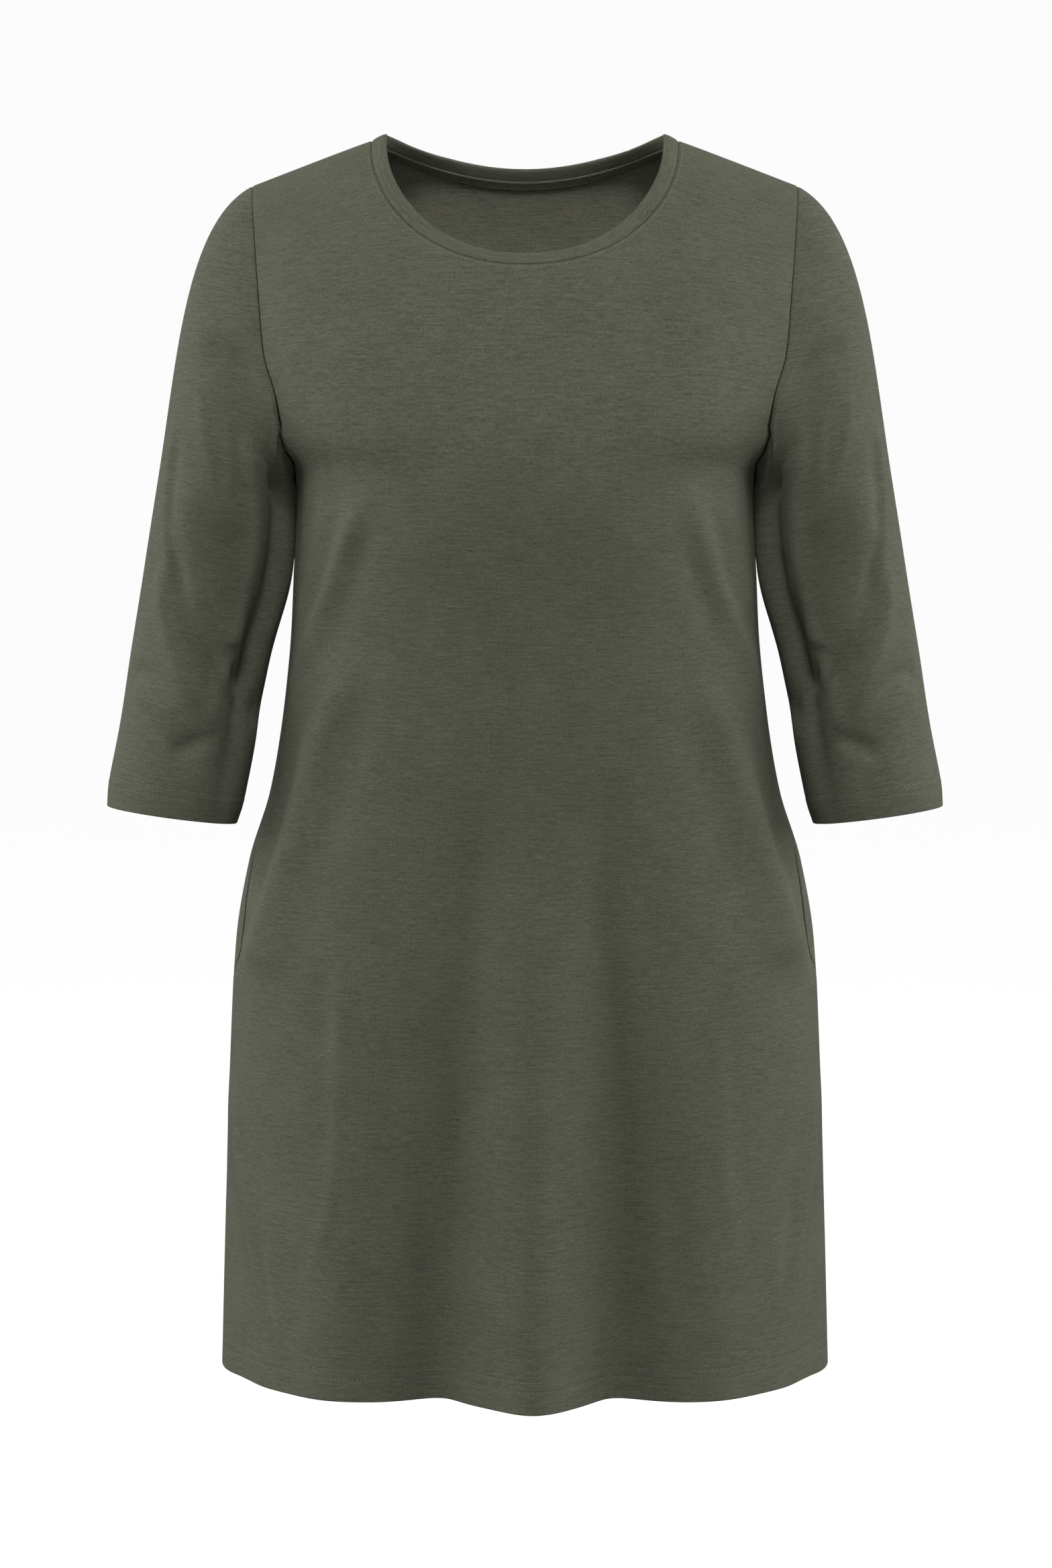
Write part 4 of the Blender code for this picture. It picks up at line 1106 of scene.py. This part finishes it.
sheet = new_sheet()
add_allowance(
    sheet, armhole_points, armhole_normals, armhole_across, -ALLOWANCE_WIDTH, ALLOWANCE_PAST_SEAM
)
above_mouth = np.linspace(ARMHOLE_DEPTH + 0.006, MOUTH_TOP - 0.002, 90)
below_mouth = np.linspace(POCKET_ENDS_AT, LENGTH - HEM_ROWS[1] - 0.001, 60)
seam_lines = [np.column_stack([0 * depths + pi / 2, fall_of(depths)]) for depths in (above_mouth, below_mouth)]
turns = np.linspace(neckline(1, [0.0, 1.0])[0, 0] + SHOULDER_FROM_NECK, ARMHOLE_TURN - 0.04, 60)
seam_lines.append(np.column_stack([turns, 0 * turns + SHOULDER_SEAM_FALL]))
for line in seam_lines:
    seam, outward = body(line), normals(body, line)
    across = unit(np.cross(outward, np.gradient(seam, axis=0)))
    add_allowance(sheet, seam, outward, across, -ALLOWANCE_WIDTH / 2, ALLOWANCE_WIDTH / 2)
allowances = finish_cloth("seam_allowances", sheet, jersey_back_painted_light, jersey_back_painted_light)

# Stitching
# Olive cotton thread a shade lighter than the cloth. Twin needles sew the hem and the cuffs, and
# single rows run under the neckband and along both edges of the tape, but not down the pocket mouths.
THREAD = (0.150, 0.160, 0.118)
STITCH_STEP = 0.0030
STITCH_LENGTH = 0.0025
STITCH_WIDTH = 0.00065
STITCH_HEIGHT = 0.00040

thread = bpy.data.materials.new("thread")
thread.use_nodes = True
thread_finish = thread.node_tree.nodes["Principled BSDF"]
thread_finish.inputs["Roughness"].default_value = 0.7
thread_finish.inputs["Sheen Weight"].default_value = 0.15
where = wired(thread.node_tree, "ShaderNodeTexCoord").outputs["Object"]
uneven = wired(thread.node_tree, "ShaderNodeTexNoise", {"Vector": where, "Scale": 400}).outputs["Fac"]
shade = wired(thread.node_tree, "ShaderNodeVectorMath", {0: THREAD}, operation="SCALE")
strength = wired(
    thread.node_tree, "ShaderNodeMapRange", {"Value": uneven, "To Min": 0.75, "To Max": 1.25}
).outputs[0]
thread.node_tree.links.new(strength, shade.inputs["Scale"])
thread.node_tree.links.new(shade.outputs[0], thread_finish.inputs["Base Color"])


one_stitch = bmesh.new()
bmesh.ops.create_uvsphere(one_stitch, u_segments=6, v_segments=4, radius=0.5)
stitch_points = np.array([vert.co[:] for vert in one_stitch.verts])
stitch_faces = [[vert.index for vert in face.verts] for face in one_stitch.faces]
one_stitch.free()


def stitches(points, outward):
    """Points of a row of stitches along close points on the cloth, each lying flat on it."""
    lengths = np.r_[0, np.cumsum(np.linalg.norm(np.diff(points, axis=0), axis=1))]
    count = int(lengths[-1] / STITCH_STEP)
    middles = (np.arange(count) + 0.5) * lengths[-1] / count

    def read(values, at):
        return np.stack([np.interp(at, lengths, values[:, k]) for k in range(3)], axis=-1)

    along = unit(read(points, middles + STITCH_LENGTH / 2) - read(points, middles - STITCH_LENGTH / 2))
    beside = unit(np.cross(read(outward, middles), along))
    up = np.cross(along, beside)
    axes = np.stack([along, beside, up], axis=1) * np.array([STITCH_LENGTH, STITCH_WIDTH, STITCH_HEIGHT])[:, None]
    return read(points, middles)[:, None] + stitch_points @ axes


def sew_rows(name, rows):
    """One piece from rows of stitches, a copy of the one stitch at each place."""
    placed = np.concatenate(rows)
    size = len(stitch_points)
    faces = [[k * size + corner for corner in face] for k in range(len(placed)) for face in stitch_faces]
    mesh = bpy.data.meshes.new(name)
    mesh.from_pydata(placed.reshape(-1, 3), [], faces)
    mesh.shade_smooth()
    mesh.materials.append(thread)
    piece = bpy.data.objects.new(name, mesh)
    scene.collection.objects.link(piece)
    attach(piece, "root")
    return piece


def on_body(spots):
    return body(spots), normals(body, spots)


hem_rows = []
for face in (1, -1):
    turns = np.linspace(-pi / 2, pi / 2, 1200)
    for row in HEM_ROWS:
        spots = np.column_stack([turns, np.full(1200, face * float(fall_of(LENGTH - row)))])
        points, outward = on_body(spots)
        hem_rows.append(stitches(points - 0.5 * THREAD_DIP * outward, outward))
sew_rows("hem_stitches", hem_rows)

cuff_rows = []
for side in (1, -1):
    for row in CUFF_ROWS:
        spots = np.column_stack([np.linspace(0, 1, 500), np.full(500, 2 - row / ARM_LENGTH)])
        points, outward = sleeve(spots), -normals(sleeve, spots)
        mirrored = np.array([side, 1, 1])
        cuff_rows.append(stitches((points - 0.5 * THREAD_DIP * outward) * mirrored, outward * mirrored))
sew_rows("cuff_stitches", cuff_rows)

spots = neck_ring(300)
seam, outward, across, rising, facing = band_frame(spots)
closed = np.arange(len(spots) + 1) % len(spots)
under_band = seam - NECK_STITCH_FROM_SEAM * across - 0.3 * THREAD_DIP * outward
neck_rows = [stitches(under_band[closed], outward[closed])]
right = neckline(-1, np.linspace(0.02, 1, 200))
spots = np.vstack([right[:-1] * [-1, 1], right[::-1]])
seam, outward = on_body(spots)
along = np.gradient(seam, axis=0)
up = unit(np.cross(along, outward))
up = np.where(up[:, 2:3] < 0, -up, up)
for from_top in (0.0012, TAPE_WIDTH - 0.0012):
    clear = TAPE_CLEAR_TOP + (TAPE_CLEAR_LOW - TAPE_CLEAR_TOP) * from_top / TAPE_WIDTH
    height = TAPE_ABOVE_SEAM - from_top
    neck_rows.append(stitches(seam + height * up - (clear + TAPE_CLOTH) * outward, outward))
sew_rows("neck_stitches", neck_rows)
